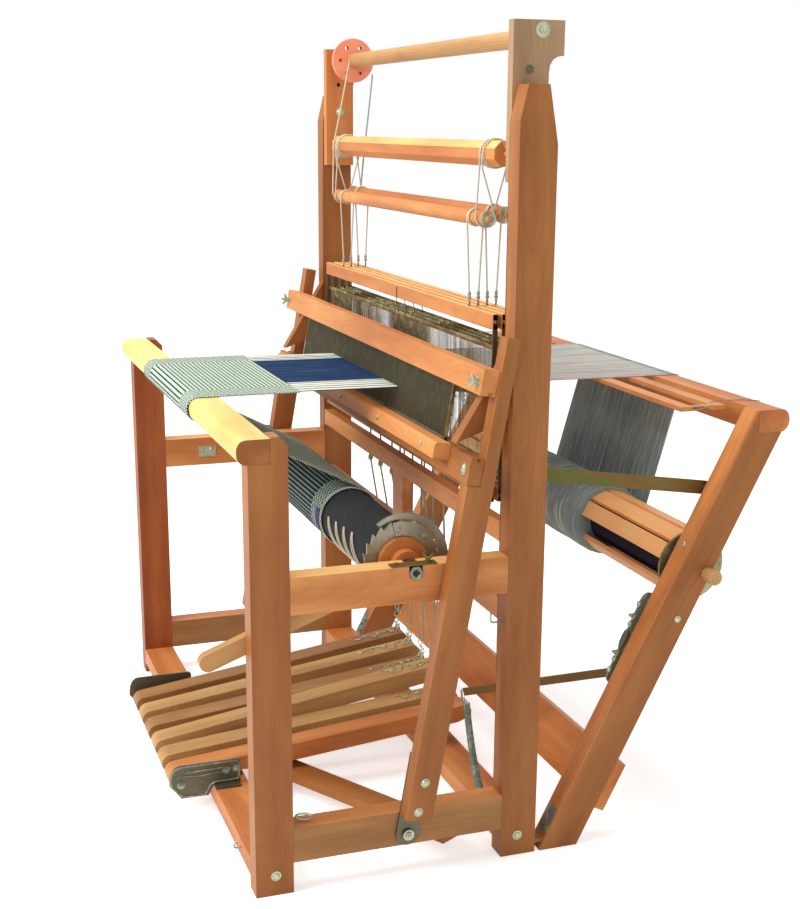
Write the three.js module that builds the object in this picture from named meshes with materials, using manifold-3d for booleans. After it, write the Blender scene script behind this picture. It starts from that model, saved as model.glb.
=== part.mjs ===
// Counterbalance floor loom, in millimetres, +Z up.
// X runs across the weaving width, -Y is the weaver's side, Z = 0 is the floor.
import * as THREE from 'three';
import { mergeVertices } from 'three/addons/utils/BufferGeometryUtils.js';
import Module from 'manifold-3d';

const wasm = await Module();
wasm.setup();

// Clearances
const seat = 0.3;
const running = 1;
const overrun = 5;

// Facet counts
const rodSides = 16;
const smallSides = 8;
const cordSides = 8;
const wheelSides = 32;

// Outer frame
const halfWidth = 576;
const lumber = 42;
const postDepth = 66;
const postHeight = 798;
const hornChamferRun = 13;
const hornChamferDrop = 14;
const castleFront = 450;
const castleDepth = 66.6;
const castleHeight = 1337;
const castleFrontTaper = 13;
const castleFrontTaperDrop = 56;
const castleRearTaper = 16.6;
const castleRearTaperDrop = 93;
const midRailBottom = 500;
const railHeight = 64;
const lowRailBottom = 56;
const innerFace = halfWidth - lumber;
const castleRear = castleFront + castleDepth;

// Breast beam
const beamDepth = 55.5;
const beamHeight = 40.5;
const beamNose = 18;
const noseRun = 18;
const noseSteps = 8;
const beamBottom = 755.5;
const beamRear = beamDepth - beamNose;
const beamTop = beamBottom + beamHeight;

// Bottom boards
const baseBoardHeight = 33;
const baseBoardBottom = 23.5;
const baseBoardTop = baseBoardBottom + baseBoardHeight;
const braceWidth = 48;
const braceThick = 20;
const braceFrontX = 30;
const braceRearInset = 28;
const braceRearX = halfWidth - braceRearInset;
const braceRearRise = 84;
const braceRearY = castleFront - braceRearRise;

// Castle cross members
const crossRailHeight = 35;
const crossRailBottom = 580;
const crossRailThick = 20;
const guideHeight = 40;
const guideTop = 480;
const dividerHalf = 30;

// Castle extension boards with the top roller
const extensionThick = 20;
const extensionBottom = 1184;
const extensionTop = 1436;
const extensionFront = 453;
const extensionNeckRear = 516;
const extensionHeadRear = 542;
const extensionHeadBottom = 1382;
const extensionNeckTop = 1355;
const extensionHoleY = 482;
const extensionHoleZ = 1360;
const extensionHoleRadius = 5;
const extensionOuter = innerFace - seat;
const extensionInner = extensionOuter - extensionThick;

// Rollers
const pinRadius = 5;
const topRollerY = 503.5;
const topRollerZ = 1411;
const topRollerRadius = 15;
const discRadius = 47;
const discThick = 11;
const discInset = 52;
const discOuter = innerFace - discInset;
const discHoleRadius = 4;
const discHoles = 6;
const discHoleShare = 0.65;
const octagonY = 473;
const octagonZ = 1228;
const octagonFlats = 42;
const octagonInset = 65;
const octagonHalf = innerFace - octagonInset;
const octagonSides = 8;
const lowerRollerInset = 101;
const lowerRollerHalf = innerFace - lowerRollerInset;
const lowerRollerRadius = 13;
const frontRollerZ = 1120;
const rearRollerZ = 1127;
const rollerPinLength = 11;
const rollerPinRadius = 6;

// Cords
const cordRadius = 1.25;
const liftCordInset = 19;
const liftCordX = lowerRollerHalf - liftCordInset;
const liftCordSpacing = 12;
const shaftCordInset = 58;
const shaftCordX = lowerRollerHalf - shaftCordInset;
const liftUpright = 24;
const liftRise = 6;
const wrapHalf = 2.5;
const shaftCordStand = 1;

// Harness shafts
const shaftInset = 39;
const shaftHalf = innerFace - shaftInset;
const shaftThick = 11;
const shaftPitch = 17;
const shaftCount = 4;
const frontShaftY = castleFront;
const topBarBottom = 940;
const topBarHeight = 27;
const bottomBarBottom = 640;
const bottomBarHeight = 24;
const sidePlateThick = 3;
const sidePlateWidth = 9;
const heddleBarHeight = 8;
const heddleBarThick = 2;
const topHeddleBarZ = 905;
const bottomHeddleBarZ = 676;
const heddleWidth = 2.4;
const heddleThick = 1.2;

// Warp and cloth
const warpPitch = 22;
const warpStripWidth = 14;
const warpStrips = 20;
const warpCentre = -25;
const warpThick = 1.2;
const clothThick = 2;
const clothFell = 190;
const clothSlack = 6;
const warpBand = 5;
const warpSplit = 560;
const warpFrontZ = 797;
const warpBackZ = 791;
const warpHalf = warpPitch * warpStrips / 2;
const clothHalf = warpHalf + overrun;

// Beater
const beaterPivotY = 270;
const beaterPivotZ = 79;
const beaterLean = Math.atan(0.173);
const swordGap = 6;
const swordInner = halfWidth + swordGap;
const swordThick = 32;
const swordDepth = 47;
const swordFront = -21;
const swordFoot = 39;
const swordTopDepth = 23.5;
const swordNotch = 630.7;
const supportFront = -22;
const supportHeight = 47;
const supportOverhang = 2;
const raceDepth = 30;
const raceHeight = 28;
const raceInset = 14;
const raceHalf = innerFace - raceInset;
const raceRise = 23.3;
const raceNoseRadius = 8;
const barDepth = 27.7;
const barHeight = 43;
const reedOpening = 102;
const swordAbove = 98;
const barOverhang = 6;
const reedInset = 77;
const reedHalf = innerFace - reedInset;
const reedThick = 6;
const reedAxis = -8;
const reedGroove = 6;
const reedGrooveClear = 1;
const reedBaulk = 12;
const dentWidth = 2.4;
const swordRear = swordFront + swordDepth;
const swordStep = swordRear - swordTopDepth;
const swordOuter = swordInner + swordThick;
const supportBottom = swordNotch + seat;
const supportTop = supportBottom + supportHeight;
const supportRear = swordStep - seat;
const raceBottom = swordNotch + raceRise;
const barBottom = supportTop + reedOpening;
const swordTop = barBottom + swordAbove;

// Beater pivot plates
const plateThick = 5.4;
const pivotHeadRadius = 7.5;
const pivotHeadThick = 5.5;
const plateHalf = 21;
const plateTop = 150;

// Beater stops on the castle
const stopInset = 4;
const stopThick = 24;
const stopReach = 94;
const stopApexRise = 34;
const stopHeight = 118;
const stopBottomZ = 799;
const stopInner = innerFace + stopInset;
const stopOuter = stopInner + stopThick;
const stopApexY = castleFront - stopReach;
const stopApexZ = stopBottomZ - stopApexRise;
const stopTopZ = stopBottomZ + stopHeight;

// Treadles
const treadleCount = 6;
const treadlePitch = 76;
const treadleWidth = 48;
const treadlePivotY = -62;
const treadlePivotZ = 66;
const treadlePinRadius = 5;
const treadleLength = 602;
const treadleTop = 19;
const treadleBelly = -15;
const treadleNose = 18;
const treadleFootBottom = -7;
const treadleFootStart = 34;
const treadleFootEnd = 112;
const treadleBellyStart = 158;
const treadleTailRadius = 15;
const treadleAngles = [7.9, 7.6, 6.4, 8.6, 5.5, 5.5];
const bracketX = 236;
const bracketThick = 4;
const bracketFront = -84;
const bracketTop = 104;
const bracketRear = 52;
const bracketLobeBottom = 38;
const bracketLobeRear = -10;
const bracketFlange = 26;
const hookWire = 2;
const hookTop = 46;
const hookAside = 7;
const hookInset = 12;
const hookX = treadlePitch * (treadleCount - 1) / 2 + hookAside;
const hookRun = treadleLength - hookInset;

// Cloth beam
const clothAxisY = 282.7;
const clothAxisZ = 552;
const beamCoreRadius = 46;
const beamCoreInset = 46;
const beamCoreHalf = innerFace - beamCoreInset;
const rollRadius = 58;
const bushRadius = 11.7;
const bushProud = 2;
const ratchetRadius = 72;
const ratchetRoot = 64;
const ratchetTeeth = 24;
const ratchetThick = 4;
const ratchetInset = 36;
const ratchetX = innerFace - ratchetInset;
const hubRadius = 44;
const hubThick = 12;

// Cloth advance lever
const leverEndY = -62;
const leverEndZ = 417;
const leverEndRadius = 15;
const leverHubRadius = 26;

// Folding back frame
const foldClear = 4.4;
const foldY = castleRear + foldClear;
const foldZ = 17;
const knuckleRadius = 4.1;
const knuckleWeb = 3;
const knuckleInset = 6;
const legSlope = 0.5;
const legGap = 10;
const legFootFront = castleRear + legGap;
const legFootDepth = 73.8;
const legTop = 790;
const backBeamFront = 928;
const backBeamDepth = 62;
const backBeamRear = backBeamFront + backBeamDepth;
const backBeamHeight = 41;
const backBeamBottom = legTop - backBeamHeight;
const backBeamNose = 16;
const backNoseShare = 0.78;
const backLeaves = -24;
const backBoardThick = 20;
const backBoardWidth = 95;
const backBoardStart = 76;
const stickWidth = 25;
const stickThick = 8;
const stickInset = 24;
const stickNearX = innerFace - stickInset;
const stickFrontY = 806;
const stickRearY = 872;
const stickTieInset = 12;

// Warp beam
const warpBeamY = 839;
const warpBeamZ = 497;
const warpCoreRadius = 42;
const slatCount = 10;
const slatTurn = 24;
const slatLeftOut = 2;
const slatWidth = 32;
const slatThick = 9;
const slatRadius = 58;
const drumInset = 12;
const drumHalf = innerFace - drumInset;
const drumDiscRadius = 66;
const drumDiscThick = 5;
const warpRollRadius = 74;
const knobRadius = 12;
const knobProud = 30;

// Stays
const stayWidth = 25;
const stayThick = 3;
const stayGap = 6;
const stayBoss = 7;
const stayFrontY = 483;
const stayFrontZ = 699;
const stayRearY = 855;
const stayRearZ = 644;

// Brake
const brakePivotY = 757;
const brakePivotZ = 436;
const brakeEndY = 693;
const brakeEndZ = 296;
const brakeInset = 17;
const brakeX = innerFace - brakeInset;
const brakeThick = 5;
const brakeWidth = 30;
const brakePin = 5;
const brakeRodInset = 34;
const brakeRodX = innerFace - brakeRodInset;
const rodAside = 13;
const rodWidth = 16;
const rodThick = 3;
const springWire = 1.1;
const springRadius = 4.4;
const springCurls = 60;
const springSteps = 8;
const springWireSides = 5;
const springAside = 25;
const springLead = 3.5;
const springDrop = 16;
const springFootInset = 6;
const springFootX = innerFace - springFootInset;
const springFootY = 430;
const springFootZ = 106;
const springSag = 24;

// Colours
const maple = { color: 0xc9803f, roughness: 0.45, metalness: 0 };
const darkMaple = { color: 0xb0602c, roughness: 0.5, metalness: 0 };
const discPaint = { color: 0xd46a45, roughness: 0.5, metalness: 0 };
const zinc = { color: 0xb9bda6, roughness: 0.35, metalness: 0.9 };
const darkSteel = { color: 0x4a4d50, roughness: 0.45, metalness: 0.85 };
const chromate = { color: 0x9a9350, roughness: 0.4, metalness: 0.8 };
const cordWhite = { color: 0xe4e0cf, roughness: 0.9, metalness: 0 };
const clothBlue = { color: 0x2d3a5c, roughness: 0.95, metalness: 0 };
const yarnGrey = { color: 0x66717f, roughness: 0.95, metalness: 0 };
const apronBlack = { color: 0x24242c, roughness: 0.9, metalness: 0 };
const reedSteel = { color: 0x4b473f, roughness: 0.5, metalness: 0.6 };

const loom = new THREE.Group();

function plain(geometry) {
  const copy = geometry.clone();
  copy.deleteAttribute('normal');
  copy.deleteAttribute('uv');
  return mergeVertices(copy);
}

function toSolid(geometry) {
  const merged = plain(geometry);
  const mesh = new wasm.Mesh({
    numProp: 3,
    vertProperties: new Float32Array(merged.attributes.position.array),
    triVerts: new Uint32Array(merged.index.array),
  });
  return new wasm.Manifold(mesh);
}

function fromSolid(solid) {
  const mesh = solid.getMesh();
  const geometry = new THREE.BufferGeometry();
  geometry.setAttribute('position', new THREE.BufferAttribute(new Float32Array(mesh.vertProperties), 3));
  geometry.setIndex(new THREE.BufferAttribute(new Uint32Array(mesh.triVerts), 1));
  return geometry;
}

function unite(...pieces) {
  return fromSolid(pieces.map(toSolid).reduce((whole, piece) => whole.add(piece)));
}

function cut(body, ...tools) {
  return fromSolid(tools.map(toSolid).reduce((whole, tool) => whole.subtract(tool), toSolid(body)));
}

function put(name, geometry, look, parent = loom) {
  const finished = plain(geometry);
  finished.computeVertexNormals();
  const mesh = new THREE.Mesh(finished, new THREE.MeshStandardMaterial(look));
  mesh.name = name;
  parent.add(mesh);
  return mesh;
}

function block(x0, x1, y0, y1, z0, z1) {
  const geometry = new THREE.BoxGeometry(x1 - x0, y1 - y0, z1 - z0);
  return geometry.translate((x0 + x1) / 2, (y0 + y1) / 2, (z0 + z1) / 2);
}

// A shape drawn in (y, z), extruded along X
function alongX(shape, x0, x1, curveSteps = 6) {
  const geometry = new THREE.ExtrudeGeometry(shape, {
    depth: x1 - x0,
    bevelEnabled: false,
    curveSegments: curveSteps,
  });
  const basis = new THREE.Matrix4().makeBasis(
    new THREE.Vector3(0, 1, 0),
    new THREE.Vector3(0, 0, 1),
    new THREE.Vector3(1, 0, 0),
  );
  return geometry.applyMatrix4(basis).translate(x0, 0, 0);
}

function outline(points) {
  return new THREE.Shape(points.map(([a, b]) => new THREE.Vector2(a, b)));
}

function rodAlongX(radius, y, z, x0, x1, sides = rodSides) {
  const geometry = new THREE.CylinderGeometry(radius, radius, x1 - x0, sides);
  return geometry.rotateZ(Math.PI / 2).translate((x0 + x1) / 2, y, z);
}

function rodAlongZ(radius, x, y, z0, z1, sides = smallSides) {
  const geometry = new THREE.CylinderGeometry(radius, radius, z1 - z0, sides);
  return geometry.rotateX(Math.PI / 2).translate(x, y, (z0 + z1) / 2);
}

// A straight round bar between two points
function bar(from, to, radius, sides = cordSides) {
  const run = new THREE.Vector3().subVectors(to, from);
  const geometry = new THREE.CylinderGeometry(radius, radius, run.length(), sides);
  const turn = new THREE.Quaternion().setFromUnitVectors(
    new THREE.Vector3(0, 1, 0),
    run.clone().normalize(),
  );
  const middle = new THREE.Vector3().addVectors(from, to).multiplyScalar(0.5);
  return geometry.applyQuaternion(turn).translate(middle.x, middle.y, middle.z);
}

// A flat bar between two points of the (y, z) plane, its ends rounded
function strip(from, to, width, x0, x1) {
  const run = new THREE.Vector2().subVectors(to, from);
  const angle = run.angle();
  const shape = new THREE.Shape();
  shape.absarc(from.x, from.y, width / 2, angle + Math.PI / 2, angle + Math.PI * 3 / 2);
  shape.absarc(to.x, to.y, width / 2, angle - Math.PI / 2, angle + Math.PI / 2);
  return alongX(shape, x0, x1, 4);
}

// The two x limits of a piece on the near (1) or far (-1) side
function span(side, inner, outer) {
  return side > 0 ? [inner, outer] : [-outer, -inner];
}

function v2(a, b) {
  return new THREE.Vector2(a, b);
}

function v3(x, y, z) {
  return new THREE.Vector3(x, y, z);
}

const sides = [[1, 'near'], [-1, 'far']];

// Posts and rails
const frontPostOutline = outline([
  [0, 0],
  [postDepth, 0],
  [postDepth, postHeight - hornChamferDrop],
  [postDepth - hornChamferRun, postHeight],
  [beamRear + seat, postHeight],
  [beamRear + seat, beamBottom - seat],
  [0, beamBottom - seat],
]);
const castlePostOutline = outline([
  [castleFront, 0],
  [castleRear, 0],
  [castleRear, castleHeight - castleRearTaperDrop],
  [castleRear - castleRearTaper, castleHeight],
  [castleFront + castleFrontTaper, castleHeight],
  [castleFront, castleHeight - castleFrontTaperDrop],
]);
const railFront = postDepth + seat;
const railRear = castleFront - seat;
const midRailTop = midRailBottom + railHeight;
const slotRadius = bushRadius + seat;

function midRailOutline() {
  const shape = new THREE.Shape();
  shape.moveTo(railFront, midRailBottom);
  shape.lineTo(railRear, midRailBottom);
  shape.lineTo(railRear, midRailTop);
  shape.lineTo(clothAxisY + slotRadius, midRailTop);
  shape.absarc(clothAxisY, clothAxisZ, slotRadius, 0, -Math.PI, true);
  shape.lineTo(clothAxisY - slotRadius, midRailTop);
  shape.lineTo(railFront, midRailTop);
  shape.closePath();
  return shape;
}

// Stops that the beater rests against, on the castle posts
const stopOutline = outline([
  [stopApexY, stopApexZ],
  [castleFront, stopBottomZ],
  [castleFront, stopTopZ],
]);

for (const [side, word] of sides) {
  const [x0, x1] = span(side, innerFace, halfWidth);
  const [s0, s1] = span(side, stopInner, stopOuter);
  const castlePost = unite(alongX(castlePostOutline, x0, x1), alongX(stopOutline, s0, s1));
  put(`front_post_${word}`, alongX(frontPostOutline, x0, x1), maple);
  put(`castle_post_${word}`, castlePost, maple);
  put(`mid_rail_${word}`, alongX(midRailOutline(), x0, x1), maple);
  const lowRailTop = lowRailBottom + railHeight;
  put(`low_rail_${word}`, block(x0, x1, railFront, railRear, lowRailBottom, lowRailTop), maple);
}

// Breast beam with its rounded nose
function noseOutline(rear, front, bottom, top, nose) {
  const shape = new THREE.Shape();
  shape.moveTo(rear, bottom);
  shape.lineTo(rear, top);
  shape.lineTo(front + nose, top);
  shape.quadraticCurveTo(front, top, front, (bottom + top) / 2);
  shape.quadraticCurveTo(front, bottom, front + nose, bottom);
  shape.closePath();
  return shape;
}

put(
  'breast_beam',
  alongX(noseOutline(beamRear, -beamNose, beamBottom, beamTop, beamNose), -halfWidth, halfWidth),
  maple,
);

// Bottom boards and the diagonal brace
const boardHalf = innerFace - seat;
put('front_board', block(-boardHalf, boardHalf, 0, postDepth, baseBoardBottom, baseBoardTop), maple);
put(
  'castle_bottom_board',
  block(-boardHalf, boardHalf, castleFront, castleRear, baseBoardBottom, baseBoardTop),
  maple,
);

function braceGeometry() {
  const start = v2(braceFrontX, postDepth);
  const run = new THREE.Vector2().subVectors(v2(braceRearX, braceRearY), start);
  const side = v2(-run.y, run.x).setLength(braceWidth / 2);
  const slide = run.clone().multiplyScalar((seat - side.y) / run.y);
  const otherSlide = run.clone().multiplyScalar((seat + side.y) / run.y);
  const shape = outline([
    [start.x - side.x + otherSlide.x, start.y - side.y + otherSlide.y],
    [braceRearX - side.x, braceRearY - side.y],
    [braceRearX + side.x, braceRearY + side.y],
    [start.x + side.x + slide.x, start.y + side.y + slide.y],
  ]);
  const geometry = new THREE.ExtrudeGeometry(shape, { depth: braceThick, bevelEnabled: false });
  return geometry.translate(0, 0, lowRailBottom - seat - braceThick);
}

put('floor_brace', braceGeometry(), darkMaple);

// Castle cross members
const crossRear = castleFront + crossRailThick;
const crossRailMiddle = crossRailBottom + crossRailHeight / 2;
const guideMiddle = guideTop - guideHeight / 2;
put(
  'castle_cross_rail',
  unite(
    block(-boardHalf, boardHalf, castleFront, crossRear, crossRailBottom, crossRailBottom + crossRailHeight),
    block(-dividerHalf, dividerHalf, castleFront, crossRear, guideMiddle, crossRailMiddle),
    block(-boardHalf, boardHalf, castleFront, crossRear, guideTop - guideHeight, guideTop),
  ),
  darkMaple,
);

// Extension boards
function extensionOutline() {
  const shape = new THREE.Shape();
  shape.moveTo(extensionFront, extensionBottom);
  shape.lineTo(extensionNeckRear, extensionBottom);
  shape.lineTo(extensionNeckRear, extensionNeckTop);
  shape.quadraticCurveTo(extensionNeckRear, extensionHeadBottom, extensionHeadRear, extensionHeadBottom);
  shape.lineTo(extensionHeadRear, extensionTop);
  shape.lineTo(extensionFront, extensionTop);
  shape.closePath();
  const hole = new THREE.Path();
  hole.absarc(extensionHoleY, extensionHoleZ, extensionHoleRadius, 0, Math.PI * 2, true);
  shape.holes.push(hole);
  return shape;
}

for (const [side, word] of sides) {
  const [x0, x1] = span(side, extensionInner, extensionOuter);
  put(`castle_extension_${word}`, alongX(extensionOutline(), x0, x1, 4), maple);
}

// Treadle brackets and the rod through the treadles
const flangeBottom = baseBoardTop + seat;
const flangeTop = flangeBottom + bracketThick;

function bracketOutline() {
  const shape = new THREE.Shape();
  shape.moveTo(bracketFront, treadlePivotZ);
  shape.quadraticCurveTo(bracketFront, bracketTop, treadlePivotY, bracketTop);
  shape.lineTo(bracketRear - bracketThick, bracketTop);
  shape.lineTo(bracketRear, bracketTop - bracketThick);
  shape.lineTo(bracketRear, flangeBottom);
  shape.lineTo(-seat, flangeBottom);
  shape.lineTo(bracketLobeRear, bracketLobeBottom);
  shape.lineTo(treadlePivotY, bracketLobeBottom);
  shape.closePath();
  return shape;
}

const bracketParts = [];
for (const [side] of sides) {
  const [x0, x1] = span(side, bracketX, bracketX + bracketThick);
  const [f0, f1] = span(side, bracketX, bracketX + bracketFlange);
  bracketParts.push(alongX(bracketOutline(), x0, x1));
  bracketParts.push(block(f0, f1, seat, bracketRear - bracketThick, flangeBottom, flangeTop));
}
bracketParts.push(
  rodAlongX(
    treadlePinRadius, treadlePivotY, treadlePivotZ, -bracketX - bracketThick, bracketX + bracketThick,
  ),
);
put('treadle_brackets', unite(...bracketParts), darkSteel);

// Treadles, the brake treadle last
function treadleOutline() {
  const tailZ = treadleTop - treadleTailRadius;
  const shape = new THREE.Shape();
  shape.absarc(0, 0, treadleNose, Math.PI / 2, Math.PI * 3 / 2);
  shape.lineTo(treadleFootStart, treadleFootBottom);
  shape.lineTo(treadleFootEnd, treadleFootBottom);
  shape.lineTo(treadleBellyStart, treadleBelly);
  shape.lineTo(treadleLength - treadleTailRadius * 2, treadleBelly);
  shape.absarc(treadleLength - treadleTailRadius, tailZ, treadleTailRadius, -Math.PI / 2, Math.PI / 2);
  shape.closePath();
  const hole = new THREE.Path();
  hole.absarc(0, 0, treadlePinRadius + seat, 0, Math.PI * 2, true);
  shape.holes.push(hole);
  return shape;
}

treadleAngles.forEach((angle, i) => {
  const middle = (i - (treadleCount - 1) / 2) * treadlePitch;
  const body = alongX(treadleOutline(), middle - treadleWidth / 2, middle + treadleWidth / 2, 8);
  const hook = rodAlongZ(hookWire, hookX, hookRun, treadleTop - overrun, hookTop);
  const geometry = i === treadleCount - 1 ? unite(body, hook) : body;
  const mesh = put(`treadle_${i + 1}`, geometry, maple);
  mesh.rotation.x = THREE.MathUtils.degToRad(angle);
  mesh.position.set(0, treadlePivotY, treadlePivotZ);
});

// Beater, drawn upright at its pivot and leaned back
const beater = new THREE.Group();
beater.position.set(0, beaterPivotY, beaterPivotZ);
beater.rotation.x = -beaterLean;
loom.add(beater);

const swordOutline = outline([
  [swordFront, swordFoot],
  [swordRear, swordFoot],
  [swordRear, swordTop],
  [swordStep, swordTop],
  [swordStep, swordNotch],
  [swordFront, swordNotch],
]);
const plateOuter = swordInner - seat;

function plateOutline() {
  const shape = new THREE.Shape();
  shape.absarc(0, 0, plateHalf, Math.PI, Math.PI * 2);
  shape.lineTo(plateHalf, plateTop);
  shape.lineTo(-plateHalf, plateTop);
  shape.closePath();
  return shape;
}

for (const [side, word] of sides) {
  const [x0, x1] = span(side, swordInner, swordOuter);
  const [p0, p1] = span(side, plateOuter - plateThick, plateOuter);
  put(`beater_sword_${word}`, alongX(swordOutline, x0, x1), maple, beater);
  const [h0, h1] = span(side, plateOuter - overrun, plateOuter + pivotHeadThick);
  put(
    `beater_pivot_plate_${word}`,
    unite(alongX(plateOutline(), p0, p1), rodAlongX(pivotHeadRadius, 0, 0, h0, h1, smallSides)),
    darkSteel,
    beater,
  );
}

// Support board with the lower reed groove
const reedFront = reedAxis - reedThick / 2;
const reedRear = reedAxis + reedThick / 2;
const grooveFront = reedFront - reedGrooveClear;
const grooveRear = reedRear + reedGrooveClear;
const supportHalf = swordOuter - supportOverhang;
const supportOutline = outline([
  [supportFront, supportBottom],
  [supportRear, supportBottom],
  [supportRear, supportTop],
  [grooveRear, supportTop],
  [grooveRear, supportTop - reedGroove],
  [grooveFront, supportTop - reedGroove],
  [grooveFront, supportTop],
  [supportFront, supportTop],
]);
put('beater_support', alongX(supportOutline, -supportHalf, supportHalf), maple, beater);

// Race with a rounded front edge
const raceRear = supportFront - seat;
const raceFront = raceRear - raceDepth;
const raceTop = raceBottom + raceHeight;

function raceOutline() {
  const shape = new THREE.Shape();
  shape.moveTo(raceFront, raceBottom);
  shape.lineTo(raceRear, raceBottom);
  shape.lineTo(raceRear, raceTop);
  shape.lineTo(raceFront + raceNoseRadius, raceTop);
  shape.quadraticCurveTo(raceFront, raceTop, raceFront, raceTop - raceNoseRadius);
  shape.closePath();
  return shape;
}

put('beater_race', alongX(raceOutline(), -raceHalf, raceHalf), maple, beater);

// Top bar with the upper reed groove
const barRear = swordStep - seat;
const barFront = barRear - barDepth;
const barTop = barBottom + barHeight;
const barHalf = swordOuter - barOverhang;
const barOutline = outline([
  [barFront, barBottom],
  [grooveFront, barBottom],
  [grooveFront, barBottom + reedGroove],
  [grooveRear, barBottom + reedGroove],
  [grooveRear, barBottom],
  [barRear, barBottom],
  [barRear, barTop],
  [barFront, barTop],
]);
put('beater_top_bar', alongX(barOutline, -barHalf, barHalf), maple, beater);

// Reed: two baulks, two ends and a dent in every gap between the warp strips
const reedBottom = supportTop - reedGroove + seat;
const reedTop = barBottom + reedGroove - seat;
const gapXs = Array.from({ length: warpStrips + 1 }, (_, i) => warpCentre + (i - warpStrips / 2) * warpPitch);
put(
  'reed',
  unite(
    block(-reedHalf, reedHalf, reedFront, reedRear, reedBottom, reedBottom + reedBaulk),
    block(-reedHalf, reedHalf, reedFront, reedRear, reedTop - reedBaulk, reedTop),
    block(-reedHalf, warpCentre - warpHalf, reedFront, reedRear, reedBottom, reedTop),
    block(warpCentre + warpHalf, reedHalf, reedFront, reedRear, reedBottom, reedTop),
    ...gapXs.map((x) => block(
      x - dentWidth / 2, x + dentWidth / 2, reedFront, reedRear, reedBottom, reedTop,
    )),
  ),
  reedSteel,
  beater,
);

// Harness shafts: wooden bars, steel side plates, heddle bars and heddles
const frontRollerY = frontShaftY + shaftPitch / 2;
const rearRollerY = frontRollerY + shaftPitch * 2;
const shaftYs = Array.from({ length: shaftCount }, (_, i) => frontShaftY + i * shaftPitch);
const plateInner = shaftHalf - sidePlateThick;
shaftYs.forEach((y, i) => {
  const y0 = y - shaftThick / 2;
  const y1 = y + shaftThick / 2;
  const pieces = [
    block(-shaftHalf, shaftHalf, y0, y1, topBarBottom, topBarBottom + topBarHeight),
    block(-shaftHalf, shaftHalf, y0, y1, bottomBarBottom, bottomBarBottom + bottomBarHeight),
  ];
  const p0 = y - sidePlateWidth / 2;
  const p1 = y + sidePlateWidth / 2;
  for (const [side] of sides) {
    const [x0, x1] = span(side, plateInner, shaftHalf);
    pieces.push(block(x0, x1, p0, p1, bottomBarBottom + seat, topBarBottom + seat));
  }
  const b0 = y - heddleBarThick / 2;
  const b1 = y + heddleBarThick / 2;
  for (const z of [topHeddleBarZ, bottomHeddleBarZ]) {
    pieces.push(block(-shaftHalf + seat, shaftHalf - seat, b0, b1, z, z + heddleBarHeight));
  }
  for (const x of gapXs) {
    pieces.push(block(
      x - heddleWidth / 2,
      x + heddleWidth / 2,
      y - heddleThick / 2,
      y + heddleThick / 2,
      bottomHeddleBarZ + seat,
      topHeddleBarZ + seat,
    ));
  }
  const front = i < 2;
  const rollerY = front ? frontRollerY : rearRollerY;
  const rollerZ = front ? frontRollerZ : rearRollerZ;
  const out = i % 2 === 0 ? -1 : 1;
  const cordY = rollerY + out * (lowerRollerRadius + cordRadius + shaftCordStand);
  for (const x of [-shaftCordX, shaftCordX]) {
    pieces.push(bar(v3(x, y, topBarBottom + topBarHeight - overrun), v3(x, cordY, rollerZ), cordRadius));
  }
  put(`shaft_${i + 1}`, unite(...pieces), maple);
});

// Rollers
function rollerWithPins(radius, half, y, z, pin, pinEnd, count) {
  return unite(
    rodAlongX(radius, y, z, -half, half, count),
    rodAlongX(pin, y, z, -pinEnd, pinEnd, smallSides),
  );
}

const octagonRadius = octagonFlats / 2 / Math.cos(Math.PI / octagonSides);
const octagon = rodAlongX(octagonRadius, 0, 0, -octagonHalf, octagonHalf, octagonSides);
octagon.rotateX(Math.PI / octagonSides).translate(0, octagonY, octagonZ);
const pinReach = extensionInner - seat;
const wrapRadius = octagonRadius / Math.cos(Math.PI / rodSides);
const cordWraps = [liftCordX, liftCordX + liftCordSpacing].flatMap((x) => [x, -x]).map((x) => rodAlongX(
  wrapRadius, octagonY, octagonZ, x - wrapHalf, x + wrapHalf,
));
put(
  'octagonal_roller',
  unite(
    octagon,
    rodAlongX(pinRadius, octagonY, octagonZ, -pinReach, pinReach, smallSides),
    ...cordWraps,
  ),
  maple,
);

const disc = rodAlongX(discRadius, topRollerY, topRollerZ, -discOuter, -discOuter + discThick, wheelSides);
const discCuts = Array.from({ length: discHoles }, (_, i) => {
  const turn = i * Math.PI * 2 / discHoles;
  const reach = discRadius * discHoleShare;
  return rodAlongX(
    discHoleRadius,
    topRollerY + reach * Math.cos(turn),
    topRollerZ + reach * Math.sin(turn),
    -discOuter - overrun,
    -discOuter + discThick + overrun,
    smallSides,
  );
});
put(
  'top_roller',
  unite(cut(disc, ...discCuts), rodAlongX(topRollerRadius, topRollerY, topRollerZ, -pinReach, pinReach)),
  discPaint,
);
const rollerPinEnd = lowerRollerHalf + rollerPinLength;
put(
  'front_roller',
  rollerWithPins(
    lowerRollerRadius, lowerRollerHalf, frontRollerY, frontRollerZ, rollerPinRadius, rollerPinEnd, rodSides,
  ),
  maple,
);
put(
  'rear_roller',
  rollerWithPins(
    lowerRollerRadius, lowerRollerHalf, rearRollerY, rearRollerZ, rollerPinRadius, rollerPinEnd, rodSides,
  ),
  maple,
);

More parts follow.
